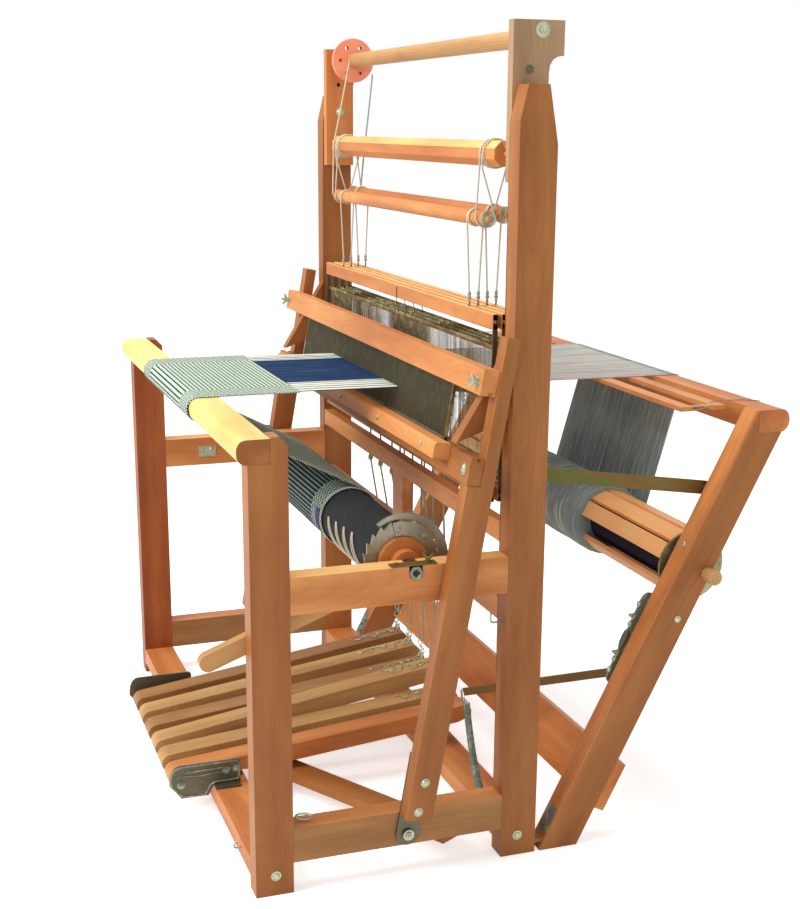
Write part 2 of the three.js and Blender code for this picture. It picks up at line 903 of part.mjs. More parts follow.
// Lift cords: each loop hangs from the octagonal roller and passes under a lower roller
function liftLoop(side, rollerY, rollerZ, out) {
  const wrap = lowerRollerRadius + cordRadius + seat;
  const topY = octagonY + out * (wrapRadius + cordRadius + seat);
  const bend = octagonZ - liftUpright;
  const first = side * liftCordX;
  const second = side * (liftCordX + liftCordSpacing);
  const low = rollerZ - wrap;
  const leave = rollerZ + liftRise;
  const frontY = rollerY - wrap;
  const rearY = rollerY + wrap;
  return unite(
    bar(v3(first, frontY, leave), v3(first, topY, bend), cordRadius),
    bar(v3(first, topY, bend - cordRadius), v3(first, topY, octagonZ), cordRadius),
    bar(v3(first, frontY, low - cordRadius), v3(first, frontY, leave + cordRadius), cordRadius),
    bar(v3(first, frontY - cordRadius, low), v3(second, rearY + cordRadius, low), cordRadius),
    bar(v3(second, rearY, low - cordRadius), v3(second, rearY, leave + cordRadius), cordRadius),
    bar(v3(second, rearY, leave), v3(second, topY, bend), cordRadius),
    bar(v3(second, topY, bend - cordRadius), v3(second, topY, octagonZ), cordRadius),
  );
}

for (const [side, word] of sides) {
  put(`front_lift_cord_${word}`, liftLoop(side, frontRollerY, frontRollerZ, -1), cordWhite);
  put(`rear_lift_cord_${word}`, liftLoop(side, rearRollerY, rearRollerZ, 1), cordWhite);
}

// Cloth beam: core, hub disc, toothed wheel and the square-drive bushes in the rails
function ratchetOutline() {
  const shape = new THREE.Shape();
  for (let i = 0; i < ratchetTeeth; i += 1) {
    const turn = i * Math.PI * 2 / ratchetTeeth;
    const next = (i + 1) * Math.PI * 2 / ratchetTeeth;
    const tip = [clothAxisY + ratchetRadius * Math.cos(turn), clothAxisZ + ratchetRadius * Math.sin(turn)];
    const root = [clothAxisY + ratchetRoot * Math.cos(next), clothAxisZ + ratchetRoot * Math.sin(next)];
    if (i === 0) shape.moveTo(...tip);
    else shape.lineTo(...tip);
    shape.lineTo(...root);
  }
  shape.closePath();
  return shape;
}

const bushEnd = halfWidth + bushProud;
put(
  'cloth_beam',
  unite(
    rodAlongX(beamCoreRadius, clothAxisY, clothAxisZ, -beamCoreHalf, beamCoreHalf, rodSides),
    alongX(ratchetOutline(), ratchetX, ratchetX + ratchetThick),
    rodAlongX(
      hubRadius, clothAxisY, clothAxisZ, beamCoreHalf - overrun, ratchetX + ratchetThick + hubThick, rodSides,
    ),
    rodAlongX(bushRadius, clothAxisY, clothAxisZ, -bushEnd, bushEnd, rodSides),
  ),
  darkMaple,
);

function ring(outer, inner, y, z, x0, x1, count) {
  return cut(
    rodAlongX(outer, y, z, x0, x1, count),
    rodAlongX(inner, y, z, x0 - overrun, x1 + overrun, count),
  );
}

put(
  'cloth_roll',
  ring(
    rollRadius,
    beamCoreRadius + seat,
    clothAxisY,
    clothAxisZ,
    warpCentre - clothHalf,
    beamCoreHalf - overrun * 2,
    wheelSides,
  ),
  apronBlack,
);

// Advance lever on the cloth beam's axis, beside the near post
const leverInner = ratchetX + ratchetThick + hubThick + seat;
const leverOuter = innerFace - seat;
put(
  'advance_lever',
  cut(
    unite(
      strip(
        v2(leverEndY, leverEndZ), v2(clothAxisY, clothAxisZ), leverEndRadius * 2, leverInner, leverOuter,
      ),
      rodAlongX(leverHubRadius, clothAxisY, clothAxisZ, leverInner, leverOuter, rodSides),
    ),
    rodAlongX(
      bushRadius + seat, clothAxisY, clothAxisZ, leverInner - overrun, leverOuter + overrun, rodSides,
    ),
  ),
  maple,
);

// A sheet of even thickness along a path in (y, z), its left side thickened
function sheetOutline(points, thick) {
  const line = points.map(([a, b]) => v2(a, b));
  const other = line.map((point, i) => {
    const before = line[Math.max(i - 1, 0)];
    const after = line[Math.min(i + 1, line.length - 1)];
    const first = new THREE.Vector2().subVectors(point, before).normalize();
    const second = new THREE.Vector2().subVectors(after, point).normalize();
    const along = first.add(second).normalize();
    return v2(point.x - along.y * thick, point.y + along.x * thick);
  });
  return new THREE.Shape([...line, ...other.reverse()]);
}

function arcPoints(y, z, radius, from, to, steps) {
  return Array.from({ length: steps + 1 }, (_, i) => {
    const turn = THREE.MathUtils.degToRad(from + (to - from) * i / steps);
    return [y + radius * Math.cos(turn), z + radius * Math.sin(turn)];
  });
}

// An arc squeezed along y
function noseArc(y, z, radius, squeeze, from, to, steps) {
  return arcPoints(y, z, radius, from, to, steps).map(([a, b]) => [y + (a - y) * squeeze, b]);
}

// Where a line from a point meets a circle, on the clockwise side
function tangentPoint([y, z], [centreY, centreZ], radius) {
  const away = Math.hypot(y - centreY, z - centreZ);
  const turn = Math.atan2(z - centreZ, y - centreY) - Math.acos(radius / away);
  return [centreY + radius * Math.cos(turn), centreZ + radius * Math.sin(turn)];
}

// Woven cloth from the fell over the breast beam and down to its roll
const clothTop = beamTop + seat;
const noseWrap = (beamHeight / 2 + seat) / Math.cos(Math.PI / 2 / noseSteps);
const noseZ = (beamTop + beamBottom) / 2;
const clothLeaves = [beamRear - overrun, beamBottom - seat - clothSlack];
const clothPath = [
  tangentPoint(clothLeaves, [clothAxisY, clothAxisZ], rollRadius + clothThick + seat),
  clothLeaves,
  ...arcPoints(noseRun - beamNose, noseZ, noseWrap, 270, 90, noseSteps),
  [beamRear, clothTop],
  [clothFell - seat, warpFrontZ - clothThick / 2],
];
put(
  'woven_cloth',
  alongX(sheetOutline(clothPath, clothThick), warpCentre - clothHalf, warpCentre + clothHalf),
  clothBlue,
);

// Warp between the fell and the back of the castle, split into strips round the dents and heddles
function warpZ(y) {
  return warpFrontZ + (warpBackZ - warpFrontZ) * (y - clothFell) / (backBeamFront - clothFell);
}

function warpLayer(x0, x1, y0, y1) {
  const shape = outline([
    [y0, warpZ(y0) - warpThick / 2],
    [y1, warpZ(y1) - warpThick / 2],
    [y1, warpZ(y1) + warpThick / 2],
    [y0, warpZ(y0) + warpThick / 2],
  ]);
  return alongX(shape, x0, x1);
}

const stripXs = gapXs.slice(0, -1).map((x) => x + warpPitch / 2);
put(
  'warp_sheet',
  unite(
    warpLayer(
      stripXs[0] - warpStripWidth / 2, stripXs.at(-1) + warpStripWidth / 2, clothFell, clothFell + warpBand,
    ),
    ...stripXs.map((x) => warpLayer(
      x - warpStripWidth / 2, x + warpStripWidth / 2, clothFell, warpSplit,
    )),
  ),
  yarnGrey,
);

// Back frame: slanted legs, back beam and lower board
function legFrontAt(z) {
  return legFootFront + legSlope * z;
}

function legRearAt(z) {
  return legFrontAt(z) + legFootDepth;
}

const legSeat = backBeamBottom - seat;
const legOutline = outline([
  [legFrontAt(0), 0],
  [legRearAt(0), 0],
  [legRearAt(legSeat), legSeat],
  [backBeamFront - seat, legSeat],
  [backBeamFront - seat, legTop],
  [legFrontAt(legTop), legTop],
]);
const knuckleWebEnd = legFrontAt(foldZ) + overrun;
const shaftBore = (knobRadius + seat) / Math.cos(Math.PI / rodSides);
for (const [side, word] of sides) {
  const [x0, x1] = span(side, innerFace, halfWidth);
  const [k0, k1] = span(side, innerFace + knuckleInset, halfWidth - knuckleInset);
  const leg = cut(
    alongX(legOutline, x0, x1),
    rodAlongX(shaftBore, warpBeamY, warpBeamZ, x0 - overrun, x1 + overrun),
  );
  put(
    `back_leg_${word}`,
    unite(
      leg,
      rodAlongX(knuckleRadius, foldY, foldZ, k0, k1),
      block(k0, k1, foldY, knuckleWebEnd, foldZ - knuckleWeb, foldZ + knuckleWeb),
    ),
    maple,
  );
}

const backNose = backBeamRear - backBeamNose;
put(
  'back_beam',
  alongX(
    outline([
      [backBeamFront, backBeamBottom],
      [backNose, backBeamBottom],
      ...noseArc(
        backNose,
        (backBeamBottom + legTop) / 2,
        (legTop - backBeamBottom) / 2,
        backNoseShare,
        -90,
        90,
        noseSteps,
      ).slice(1, -1),
      [backNose, legTop],
      [backBeamFront, legTop],
    ]),
    -halfWidth,
    halfWidth,
  ),
  maple,
);

const legDirection = v2(legSlope, 1).normalize();
const legNormal = v2(legDirection.y, -legDirection.x);
const boardStart = v2(legRearAt(0), 0)
  .addScaledVector(legDirection, backBoardStart)
  .addScaledVector(legNormal, seat);
const boardCorners = [
  boardStart.clone(),
  boardStart.clone().addScaledVector(legNormal, backBoardThick),
  boardStart.clone().addScaledVector(legNormal, backBoardThick).addScaledVector(legDirection, backBoardWidth),
  boardStart.clone().addScaledVector(legDirection, backBoardWidth),
];
put('back_board', alongX(new THREE.Shape(boardCorners), -halfWidth, halfWidth), maple);

// Lease sticks under the warp, tied together at both ends
const stickTop = warpZ(stickRearY + stickWidth) - warpThick / 2 - seat;
const stickBottom = stickTop - stickThick;
const stickTies = [];
for (const side of [1, -1]) {
  const x = side * (stickNearX - stickTieInset);
  stickTies.push(block(
    x - cordRadius,
    x + cordRadius,
    stickFrontY + overrun,
    stickRearY + overrun,
    stickTop - cordRadius * 2,
    stickTop,
  ));
}
put(
  'lease_sticks',
  unite(
    block(-stickNearX, stickNearX, stickFrontY, stickFrontY + stickWidth, stickBottom, stickTop),
    block(-stickNearX, stickNearX, stickRearY, stickRearY + stickWidth, stickBottom, stickTop),
    ...stickTies,
  ),
  maple,
);

// Warp beam: slats round a core, closed by discs, on a shaft through the legs
function slat(index) {
  const inner = slatRadius - slatThick / 2;
  const turn = THREE.MathUtils.degToRad(slatTurn + index * 360 / slatCount);
  return block(-drumHalf, drumHalf, -slatWidth / 2, slatWidth / 2, inner, inner + slatThick)
    .rotateX(turn)
    .translate(0, warpBeamY, warpBeamZ);
}

const drumPieces = Array.from({ length: slatCount }, (_, i) => i).filter((i) => i !== slatLeftOut).map(slat);
for (const side of [1, -1]) {
  const [x0, x1] = span(side, drumHalf - drumDiscThick, drumHalf + seat);
  drumPieces.push(rodAlongX(drumDiscRadius, warpBeamY, warpBeamZ, x0, x1, wheelSides));
}
put(
  'warp_beam',
  unite(
    rodAlongX(warpCoreRadius, warpBeamY, warpBeamZ, -drumHalf, drumHalf),
    rodAlongX(knobRadius, warpBeamY, warpBeamZ, -halfWidth - bushProud, halfWidth + knobProud),
    ...drumPieces,
  ),
  maple,
);
const slatCorner = Math.hypot(slatRadius + slatThick / 2, slatWidth / 2);
put(
  'warp_roll',
  ring(
    warpRollRadius,
    (slatCorner + seat) / Math.cos(Math.PI / wheelSides),
    warpBeamY,
    warpBeamZ,
    warpCentre - warpHalf,
    warpCentre + warpHalf,
    wheelSides,
  ),
  yarnGrey,
);

// Warp behind the castle, over the back beam and down to its roll
const backNoseZ = (legTop + backBeamBottom) / 2;
const backTurnRadius = (legTop - backBeamBottom) / 2 + running;
const backTurn = noseArc(backNose, backNoseZ, backTurnRadius, backNoseShare, backLeaves, 90, 5).reverse();
const rearPath = [
  [warpSplit + seat, warpZ(warpSplit) - warpThick / 2],
  [backBeamFront, legTop + seat],
  ...backTurn,
  tangentPoint(backTurn.at(-1), [warpBeamY, warpBeamZ], warpRollRadius + seat),
];
put(
  'warp_rear',
  alongX(sheetOutline(rearPath, warpThick), warpCentre - warpHalf, warpCentre + warpHalf),
  yarnGrey,
);

// Stays between the castle and the back frame
const stayOuter = innerFace - stayGap;
for (const [side, word] of sides) {
  const [x0, x1] = span(side, stayOuter - stayThick, stayOuter);
  const [b0, b1] = span(side, stayOuter - overrun, innerFace - seat);
  put(
    `stay_${word}`,
    unite(
      strip(v2(stayFrontY, stayFrontZ), v2(stayRearY, stayRearZ), stayWidth, x0, x1),
      rodAlongX(stayBoss, stayRearY, stayRearZ, b0, b1, smallSides),
      rodAlongX(stayBoss, stayFrontY, stayFrontZ, b0, b1, smallSides),
    ),
    chromate,
  );
}

// Top of the brake treadle's hook, where the rod and the spring meet it
const hookTurn = THREE.MathUtils.degToRad(treadleAngles.at(-1));
const hookY = treadlePivotY + hookRun * Math.cos(hookTurn) - hookTop * Math.sin(hookTurn);
const hookZ = treadlePivotZ + hookRun * Math.sin(hookTurn) + hookTop * Math.cos(hookTurn);

// Brake lever on the near leg, and the flat rod from it to the brake treadle
const brakeX0 = brakeX - brakeThick / 2;
const brakeX1 = brakeX + brakeThick / 2;
put(
  'brake_lever',
  unite(
    strip(v2(brakePivotY, brakePivotZ), v2(brakeEndY, brakeEndZ), brakeWidth, brakeX0, brakeX1),
    rodAlongX(brakePin, brakePivotY, brakePivotZ, brakeX0, innerFace - seat, smallSides),
    rodAlongX(brakePin, brakeEndY, brakeEndZ, brakeRodX + seat, brakeX0 + seat, smallSides),
  ),
  zinc,
);

function flat(from, to, width, thick) {
  const run = new THREE.Vector3().subVectors(to, from);
  const along = run.clone().normalize();
  const across = new THREE.Vector3(0, 0, 1).addScaledVector(along, -along.z).normalize();
  const face = new THREE.Vector3().crossVectors(along, across);
  const middle = new THREE.Vector3().addVectors(from, to).multiplyScalar(0.5);
  return new THREE.BoxGeometry(run.length(), width, thick)
    .applyMatrix4(new THREE.Matrix4().makeBasis(along, across, face))
    .translate(middle.x, middle.y, middle.z);
}

put(
  'brake_rod',
  unite(
    flat(
      v3(hookX + rodAside, hookY, hookZ),
      v3(brakeRodX - rodThick, brakeEndY, brakeEndZ),
      rodWidth,
      rodThick,
    ),
    rodAlongX(rodWidth / 2, brakeEndY, brakeEndZ, brakeRodX - rodThick * 2, brakeRodX, smallSides),
  ),
  zinc,
);

// Return spring: one wire wound along a sagging line
function springCentre(t) {
  const from = v3(hookX + springAside, hookY, hookZ - springDrop);
  const to = v3(springFootX, springFootY, springFootZ);
  const point = new THREE.Vector3().lerpVectors(from, to, t);
  point.z -= springSag * 4 * t * (1 - t);
  return point;
}

function springPath() {
  const points = [v3(hookX + springLead, hookY, hookZ - springDrop)];
  const count = springCurls * springSteps;
  for (let i = 0; i <= count; i += 1) {
    const t = i / count;
    const centre = springCentre(t);
    const before = springCentre(Math.max(t - 1 / count, 0));
    const along = springCentre(Math.min(t + 1 / count, 1)).sub(before).normalize();
    const up = new THREE.Vector3(0, 0, 1).addScaledVector(along, -along.z).normalize();
    const out = new THREE.Vector3().crossVectors(along, up);
    const turn = i * Math.PI * 2 / springSteps;
    centre.addScaledVector(up, springRadius * Math.cos(turn));
    points.push(centre.addScaledVector(out, springRadius * Math.sin(turn)));
  }
  points.push(v3(innerFace - seat * 3, springFootY, springFootZ));
  return points;
}

function tubeThrough(points, radius, count) {
  const positions = [];
  const index = [];
  points.forEach((point, i) => {
    const before = points[Math.max(i - 1, 0)];
    const after = points[Math.min(i + 1, points.length - 1)];
    const along = new THREE.Vector3().subVectors(after, before).normalize();
    const axis = new THREE.Vector3(0, 0, 1);
    const u = new THREE.Vector3().crossVectors(axis, along).normalize();
    const w = new THREE.Vector3().crossVectors(along, u);
    for (let k = 0; k < count; k += 1) {
      const turn = k * Math.PI * 2 / count;
      const rim = point.clone()
        .addScaledVector(u, radius * Math.cos(turn))
        .addScaledVector(w, radius * Math.sin(turn));
      positions.push(rim.x, rim.y, rim.z);
    }
    if (i === 0) return;
    for (let k = 0; k < count; k += 1) {
      const a = (i - 1) * count + k;
      const b = (i - 1) * count + (k + 1) % count;
      index.push(a, b, b + count, a, b + count, a + count);
    }
  });
  const last = (points.length - 1) * count;
  for (let k = 1; k < count - 1; k += 1) {
    index.push(0, k + 1, k);
    index.push(last, last + k, last + k + 1);
  }
  const geometry = new THREE.BufferGeometry();
  geometry.setAttribute('position', new THREE.Float32BufferAttribute(positions, 3));
  geometry.setIndex(index);
  return geometry;
}

function leastGap(points, radius, skip) {
  let least = Infinity;
  points.forEach((a, i) => {
    for (let k = i + skip; k < points.length; k += 1) least = Math.min(least, a.distanceTo(points[k]));
  });
  return least - radius * 2;
}

const springPoints = springPath();
put('brake_spring', tubeThrough(springPoints, springWire, springWireSides), darkSteel);
console.log('brake_spring least gap', leastGap(springPoints, springWire, springSteps / 2).toFixed(2));

// The origin lies on the floor below the middle of the whole loom
const whole = new THREE.Box3().setFromObject(loom, true);
loom.position.y = -(whole.min.y + whole.max.y) / 2;

export default loom;
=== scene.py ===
import random
from math import acos, atan, atan2, cos, dist, hypot, pi, radians, sin, tan, tau

import bmesh
import bpy
from mathutils import Matrix, Vector


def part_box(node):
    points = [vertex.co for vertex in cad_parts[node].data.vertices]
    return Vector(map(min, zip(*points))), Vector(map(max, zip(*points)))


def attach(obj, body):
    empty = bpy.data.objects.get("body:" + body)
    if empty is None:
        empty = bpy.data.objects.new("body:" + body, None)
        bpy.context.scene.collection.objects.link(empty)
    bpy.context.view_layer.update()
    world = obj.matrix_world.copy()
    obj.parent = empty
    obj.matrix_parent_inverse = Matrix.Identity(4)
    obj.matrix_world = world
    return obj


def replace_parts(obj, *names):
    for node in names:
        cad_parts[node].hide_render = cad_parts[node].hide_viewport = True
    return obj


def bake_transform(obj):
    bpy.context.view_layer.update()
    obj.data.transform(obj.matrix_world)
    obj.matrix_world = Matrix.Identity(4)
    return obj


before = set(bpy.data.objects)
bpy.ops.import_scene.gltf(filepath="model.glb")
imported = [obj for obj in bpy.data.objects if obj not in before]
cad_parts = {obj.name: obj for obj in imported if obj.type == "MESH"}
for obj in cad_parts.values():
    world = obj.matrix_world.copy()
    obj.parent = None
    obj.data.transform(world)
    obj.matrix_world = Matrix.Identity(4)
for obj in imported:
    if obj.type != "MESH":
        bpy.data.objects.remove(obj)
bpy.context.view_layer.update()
print("frame loaded:", len(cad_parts), "nodes")

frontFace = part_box("front_post_near")[0][1]  # the part's own y of the front posts, in metres


def at(x, y, z):
    return Vector((x / 1000, y / 1000 + frontFace, z / 1000))


def tone(red, green, blue):  # a screen colour to scene light
    parts = []
    for level in (red, green, blue):
        level = level / 255
        parts.append(level / 12.92 if level <= 0.04045 else ((level + 0.055) / 1.055) ** 2.4)
    return (*parts, 1.0)


# Camera, at the photograph's angle
view = {"place": (2726.4, -500.3, 1270.4), "heading": 160.327, "pitch": -14.891, "roll": 0.487,
        "lens": 56.99, "shift": (-0.00945, 0.0602)}


def makeCamera():
    heading, pitch, roll = (radians(view[k]) for k in ("heading", "pitch", "roll"))
    ahead = Vector((cos(heading) * cos(pitch), sin(heading) * cos(pitch), sin(pitch)))
    right = ahead.cross(Vector((0, 0, 1))).normalized()
    up = right.cross(ahead)
    turnedRight = right * cos(roll) + up * sin(roll)
    turnedUp = up * cos(roll) - right * sin(roll)
    data = bpy.data.cameras.new("camera")
    data.lens = view["lens"]
    data.sensor_width = 36
    data.shift_x, data.shift_y = view["shift"]
    data.clip_end = 50
    camera = bpy.data.objects.new("camera", data)
    bpy.context.scene.collection.objects.link(camera)
    turn = Matrix((turnedRight, turnedUp, -ahead)).transposed().to_4x4()
    camera.matrix_world = Matrix.Translation(at(*view["place"])) @ turn
    bpy.context.scene.camera = camera


makeCamera()
print("camera set")


# Shader maths
class Wire:  # one value in a material's tree
    def __init__(self, paint, socket):
        self.paint, self.socket = paint, socket

    def math(self, operation, first, second=None):
        values = [first] if second is None else [first, second]
        return self.paint.add("ShaderNodeMath", {"operation": operation}, values)

    def __add__(self, other):
        return self.math("ADD", self, other)

    def __sub__(self, other):
        return self.math("SUBTRACT", self, other)

    def __rsub__(self, other):
        return self.math("SUBTRACT", other, self)

    def __mul__(self, other):
        return self.math("MULTIPLY", self, other)

    def __truediv__(self, other):
        return self.math("DIVIDE", self, other)

    def __gt__(self, other):
        return self.math("GREATER_THAN", self, other)

    def __lt__(self, other):
        return self.math("LESS_THAN", self, other)

    __radd__, __rmul__ = __add__, __mul__

    def power(self, other):
        return self.math("POWER", self, other)

    def wave(self):
        return self.math("SINE", self)

    def floor(self):
        return self.math("FLOOR", self)

    def fraction(self):
        return self.math("FRACT", self)

    def size(self):
        return self.math("ABSOLUTE", self)


class Paint:  # one material, or the world
    def __init__(self, name, owner=None):
        self.material = owner or bpy.data.materials.new(name)
        self.material.use_nodes = True
        self.tree = self.material.node_tree
        self.shader = self.tree.nodes.get("Principled BSDF")

    def put(self, socket, value):
        if isinstance(value, Wire):
            self.tree.links.new(value.socket, socket)
        elif value is not None:
            socket.default_value = value

    def add(self, kind, settings=None, inputs=None, output=0):
        node = self.tree.nodes.new(kind)
        for name, value in (settings or {}).items():
            if name == "stops":
                ramp = node.color_ramp
                while len(ramp.elements) < len(value):
                    ramp.elements.new(0.5)
                for element, (place, colour) in zip(ramp.elements, value):
                    element.position, element.color = place, colour
            else:
                setattr(node, name, value)
        items = inputs.items() if isinstance(inputs, dict) else enumerate(inputs or [])
        for name, value in items:
            self.put(node.inputs[name], value)
        return Wire(self, node.outputs[output])

    def place(self, kind="Object"):
        return self.add("ShaderNodeTexCoord", output=kind)

    def named(self, name, output="Vector"):
        return self.add("ShaderNodeAttribute", {"attribute_name": name}, output=output)

    def split(self, vector):
        node = self.tree.nodes.new("ShaderNodeSeparateXYZ")
        self.put(node.inputs[0], vector)
        return [Wire(self, out) for out in node.outputs]

    def stretch(self, vector, scale):
        return self.add("ShaderNodeVectorMath", {"operation": "MULTIPLY"}, [vector, scale])

    def noise(self, vector, scale=1.0, detail=2.0, rough=0.5):
        return self.add("ShaderNodeTexNoise", {}, {"Vector": vector, "Scale": scale, "Detail": detail,
                                                   "Roughness": rough}, "Fac")

    def chance(self, value):
        return self.add("ShaderNodeTexWhiteNoise", {"noise_dimensions": "1D"}, {"W": value}, "Value")

    def ramp(self, value, stops):
        return self.add("ShaderNodeValToRGB", {"stops": stops}, [value], "Color")

    def mix(self, share, first, second, blend="MIX"):
        node = self.tree.nodes.new("ShaderNodeMix")
        node.data_type, node.blend_type = "RGBA", blend
        self.put(node.inputs[0], share)
        self.put(node.inputs[6], first)
        self.put(node.inputs[7], second)
        return Wire(self, node.outputs[2])

    def bump(self, height, depth, strength=0.5):
        inputs = {"Height": height, "Distance": depth, "Strength": strength}
        return self.add("ShaderNodeBump", {}, inputs, "Normal")

    def finish(self, shine=None, **values):
        self.put(self.shader.inputs["Specular IOR Level"], shine)
        for name, value in values.items():
            self.put(self.shader.inputs[name.replace("_", " ")], value)
        return self.material


# Finishes
clothLook = {"row": 0.0041, "end": 0.0044, "edge": 0.066, "check": (0.0062, 0.0066), "shine": 0.2}
woodLook = {"ring": 0.0052, "ring depth": 0.13, "fleck": 0.2, "coat": 0.05, "shine": 0.3}
lap = 6.283  # once round, for the sines


def woodPaint(name, pale, mid, deep, line, shine=1.0):
    paint = Paint(name)
    pale, mid, deep, line = (tone(*shade) for shade in (pale, mid, deep, line))
    grain = paint.named("grain")
    along, across, depth = paint.split(grain)
    broad = paint.noise(paint.stretch(grain, (1.6, 16, 16)), 1, 3)
    patch = paint.noise(paint.stretch(grain, (7, 26, 26)), 1, 2)
    fibre = paint.noise(paint.stretch(grain, (26, 900, 900)), 1, 3, 0.6)
    fleck = paint.noise(paint.stretch(grain, (90, 1100, 1100)), 1, 1)
    sway = paint.noise(paint.stretch(grain, (2.6, 5, 5)), 1, 1)
    radius = (across * across + depth * depth * 0.3).power(0.5) + (sway - 0.5) * 0.06
    rings = (radius / woodLook["ring"] * lap).wave() * 0.5 + 0.5
    thin = rings.power(6)
    colour = paint.ramp(broad * 0.7 + patch * 0.3, [(0.34, deep), (0.5, mid), (0.66, pale)])
    colour = paint.mix(thin * woodLook["ring depth"], colour, line)
    colour = paint.mix((fibre - 0.42) * 0.9, colour, pale)
    colour = paint.mix((fleck > 0.66) * woodLook["fleck"], colour, line)
    rough = 0.38 + fibre * 0.22 + patch * 0.06
    return paint.finish(woodLook["shine"] * shine, Base_Color=colour, Roughness=rough,
                        Coat_Weight=(woodLook["coat"] - fibre * 0.03) * shine,
                        Normal=paint.bump(fibre * 0.6 + thin * 0.4, 0.0003, 0.3))


def metalPaint(name, colour, dull, tint, rough=0.3, metal=0.9, scale=260):
    paint = Paint(name)
    spot = paint.place()
    cloud = paint.noise(spot, scale, 3)
    smear = paint.noise(spot, scale * 0.2, 2)
    shade = paint.mix(cloud, tone(*colour), tone(*dull))
    shade = paint.mix((smear > 0.55) * 0.5, shade, tone(*tint))
    return paint.finish(Base_Color=shade, Roughness=rough + cloud * 0.22, Metallic=metal,
                        Normal=paint.bump(cloud, 0.0002, 0.3))


def cordPaint(name, pale, deep):
    paint = Paint(name)
    along, around, spare = paint.split(paint.named("twist"))
    strand = ((along * 420 + around) * lap).wave() * 0.5 + 0.5
    fuzz = paint.noise(paint.place(), 2600, 2)
    colour = paint.mix(strand * 0.6 + fuzz * 0.4, tone(*deep), tone(*pale))
    return paint.finish(clothLook["shine"], Base_Color=colour, Roughness=0.85 + fuzz * 0.1,
                        Normal=paint.bump(strand, 0.0004, 0.8))


def yarnPaint(name, stops, speckle, sections=0.0, flush=None):  # threads whose colour changes along each one
    paint = Paint(name)
    stops = [(place, tone(*shade)) for place, shade in stops]
    along, around, number = paint.split(paint.named("twist"))
    twist = ((along * 300 + around) * lap).wave() * 0.5 + 0.5
    place = paint.add("ShaderNodeCombineXYZ", {}, [along * 7 + number * sections, number * 3.7, 0.0])
    dye = paint.noise(place, 1, 2)
    fuzz = paint.noise(paint.place(), 1800, 2)
    thread = paint.chance((number * 10 + 0.5).floor())
    shift = (thread - 0.5) * 0.22 if flush else 0.0
    colour = paint.ramp(dye * 0.86 + fuzz * 0.14 + shift, stops)
    if flush:  # some threads run pink and pale over the back beam
        lay = (along < 0.4) * 0.5
        # past the back beam the threads are made paler: painted light on the drop, which faces down and back
        colour = paint.mix((along > 0.42) * 0.24, colour, tone(196, 220, 226))
        colour = paint.mix(lay * (thread > 0.6), colour, tone(*flush))
        colour = paint.mix(lay * (thread < 0.45), colour, stops[-1][1])
    colour = paint.mix(twist * speckle, colour, stops[-1][1])
    return paint.finish(clothLook["shine"], Base_Color=colour, Roughness=0.82 + fuzz * 0.12,
                        Normal=paint.bump(twist, 0.0003, 0.6))


def weavePaint(name, pale, deep, purple, edges=(-0.25, 0.2)):
    paint = Paint(name)
    pale, deep, purple = (tone(*shade) for shade in (pale, deep, purple))
    along, across, rolled = paint.split(paint.named("twist"))
    row, end = clothLook["row"], clothLook["end"]
    weftNumber, warpNumber = (along / row).floor(), (across / end).floor()
    checkRow, checkEnd = clothLook["check"]
    check = (((along / checkRow).floor() + (across / checkEnd).floor()) * 0.5).fraction() * 2
    inRow = ((along / checkRow).fraction() - 0.5).size()
    inEnd = ((across / checkEnd).fraction() - 0.5).size()
    edge = (across - (edges[0] + edges[1]) / 2).size() > (edges[1] - edges[0]) / 2 - clothLook["edge"]
    fuzz = paint.noise(paint.place(), 1300, 2)
    blur = paint.noise(paint.stretch(paint.place(), (60, 60, 60)), 1, 2)
    pair = (along / (row * 2)).fraction()
    stripe = (pair > 0.3 + rolled * 0.32) * (pair < 0.97)  # thin dark rows between the pale ones
    middle = paint.mix(stripe * (0.96 - rolled * 0.3), deep, pale)
    middle = paint.mix(((weftNumber + warpNumber) * 0.5).fraction() * 0.12, middle, deep)
    gap = (check < 0.5) * (inRow < 0.46) * (inEnd < 0.46)  # dark weft between the pale ends
    checked = paint.mix(gap * 0.94, pale, deep)
    colour = paint.mix(edge, middle, checked)
    colour = paint.mix(rolled * (blur * 0.5 + 0.12), colour, deep)
    band = (across > edges[1] - 0.034) * ((along - 0.19).size() < 0.026) * rolled
    colour = paint.mix(band * 0.85, colour, purple)
    colour = paint.mix(fuzz * 0.2, colour, deep)
    ribs = (along / row * 3.1416).wave().size()
    ends = (across / end * 3.1416).wave().size()
    return paint.finish(clothLook["shine"], Base_Color=colour, Roughness=0.84 + fuzz * 0.12,
                        Normal=paint.bump(ribs * 0.6 + ends * 0.2 + fuzz * 0.2, 0.0014, 0.8))


def apronPaint(name, deep, pale):
    paint = Paint(name)
    spot = paint.place()
    threads = (paint.split(spot)[0] * 5200).wave() * 0.5 + 0.5
    dust = paint.noise(paint.stretch(spot, (14, 40, 40)), 1, 3)
    fuzz = paint.noise(spot, 1400, 2)
    colour = paint.mix(dust * 0.7 + fuzz * 0.2, tone(*deep), tone(*pale))
    return paint.finish(clothLook["shine"], Base_Color=colour, Roughness=0.7 + fuzz * 0.2,
                        Normal=paint.bump(threads * 0.5 + fuzz, 0.0005))


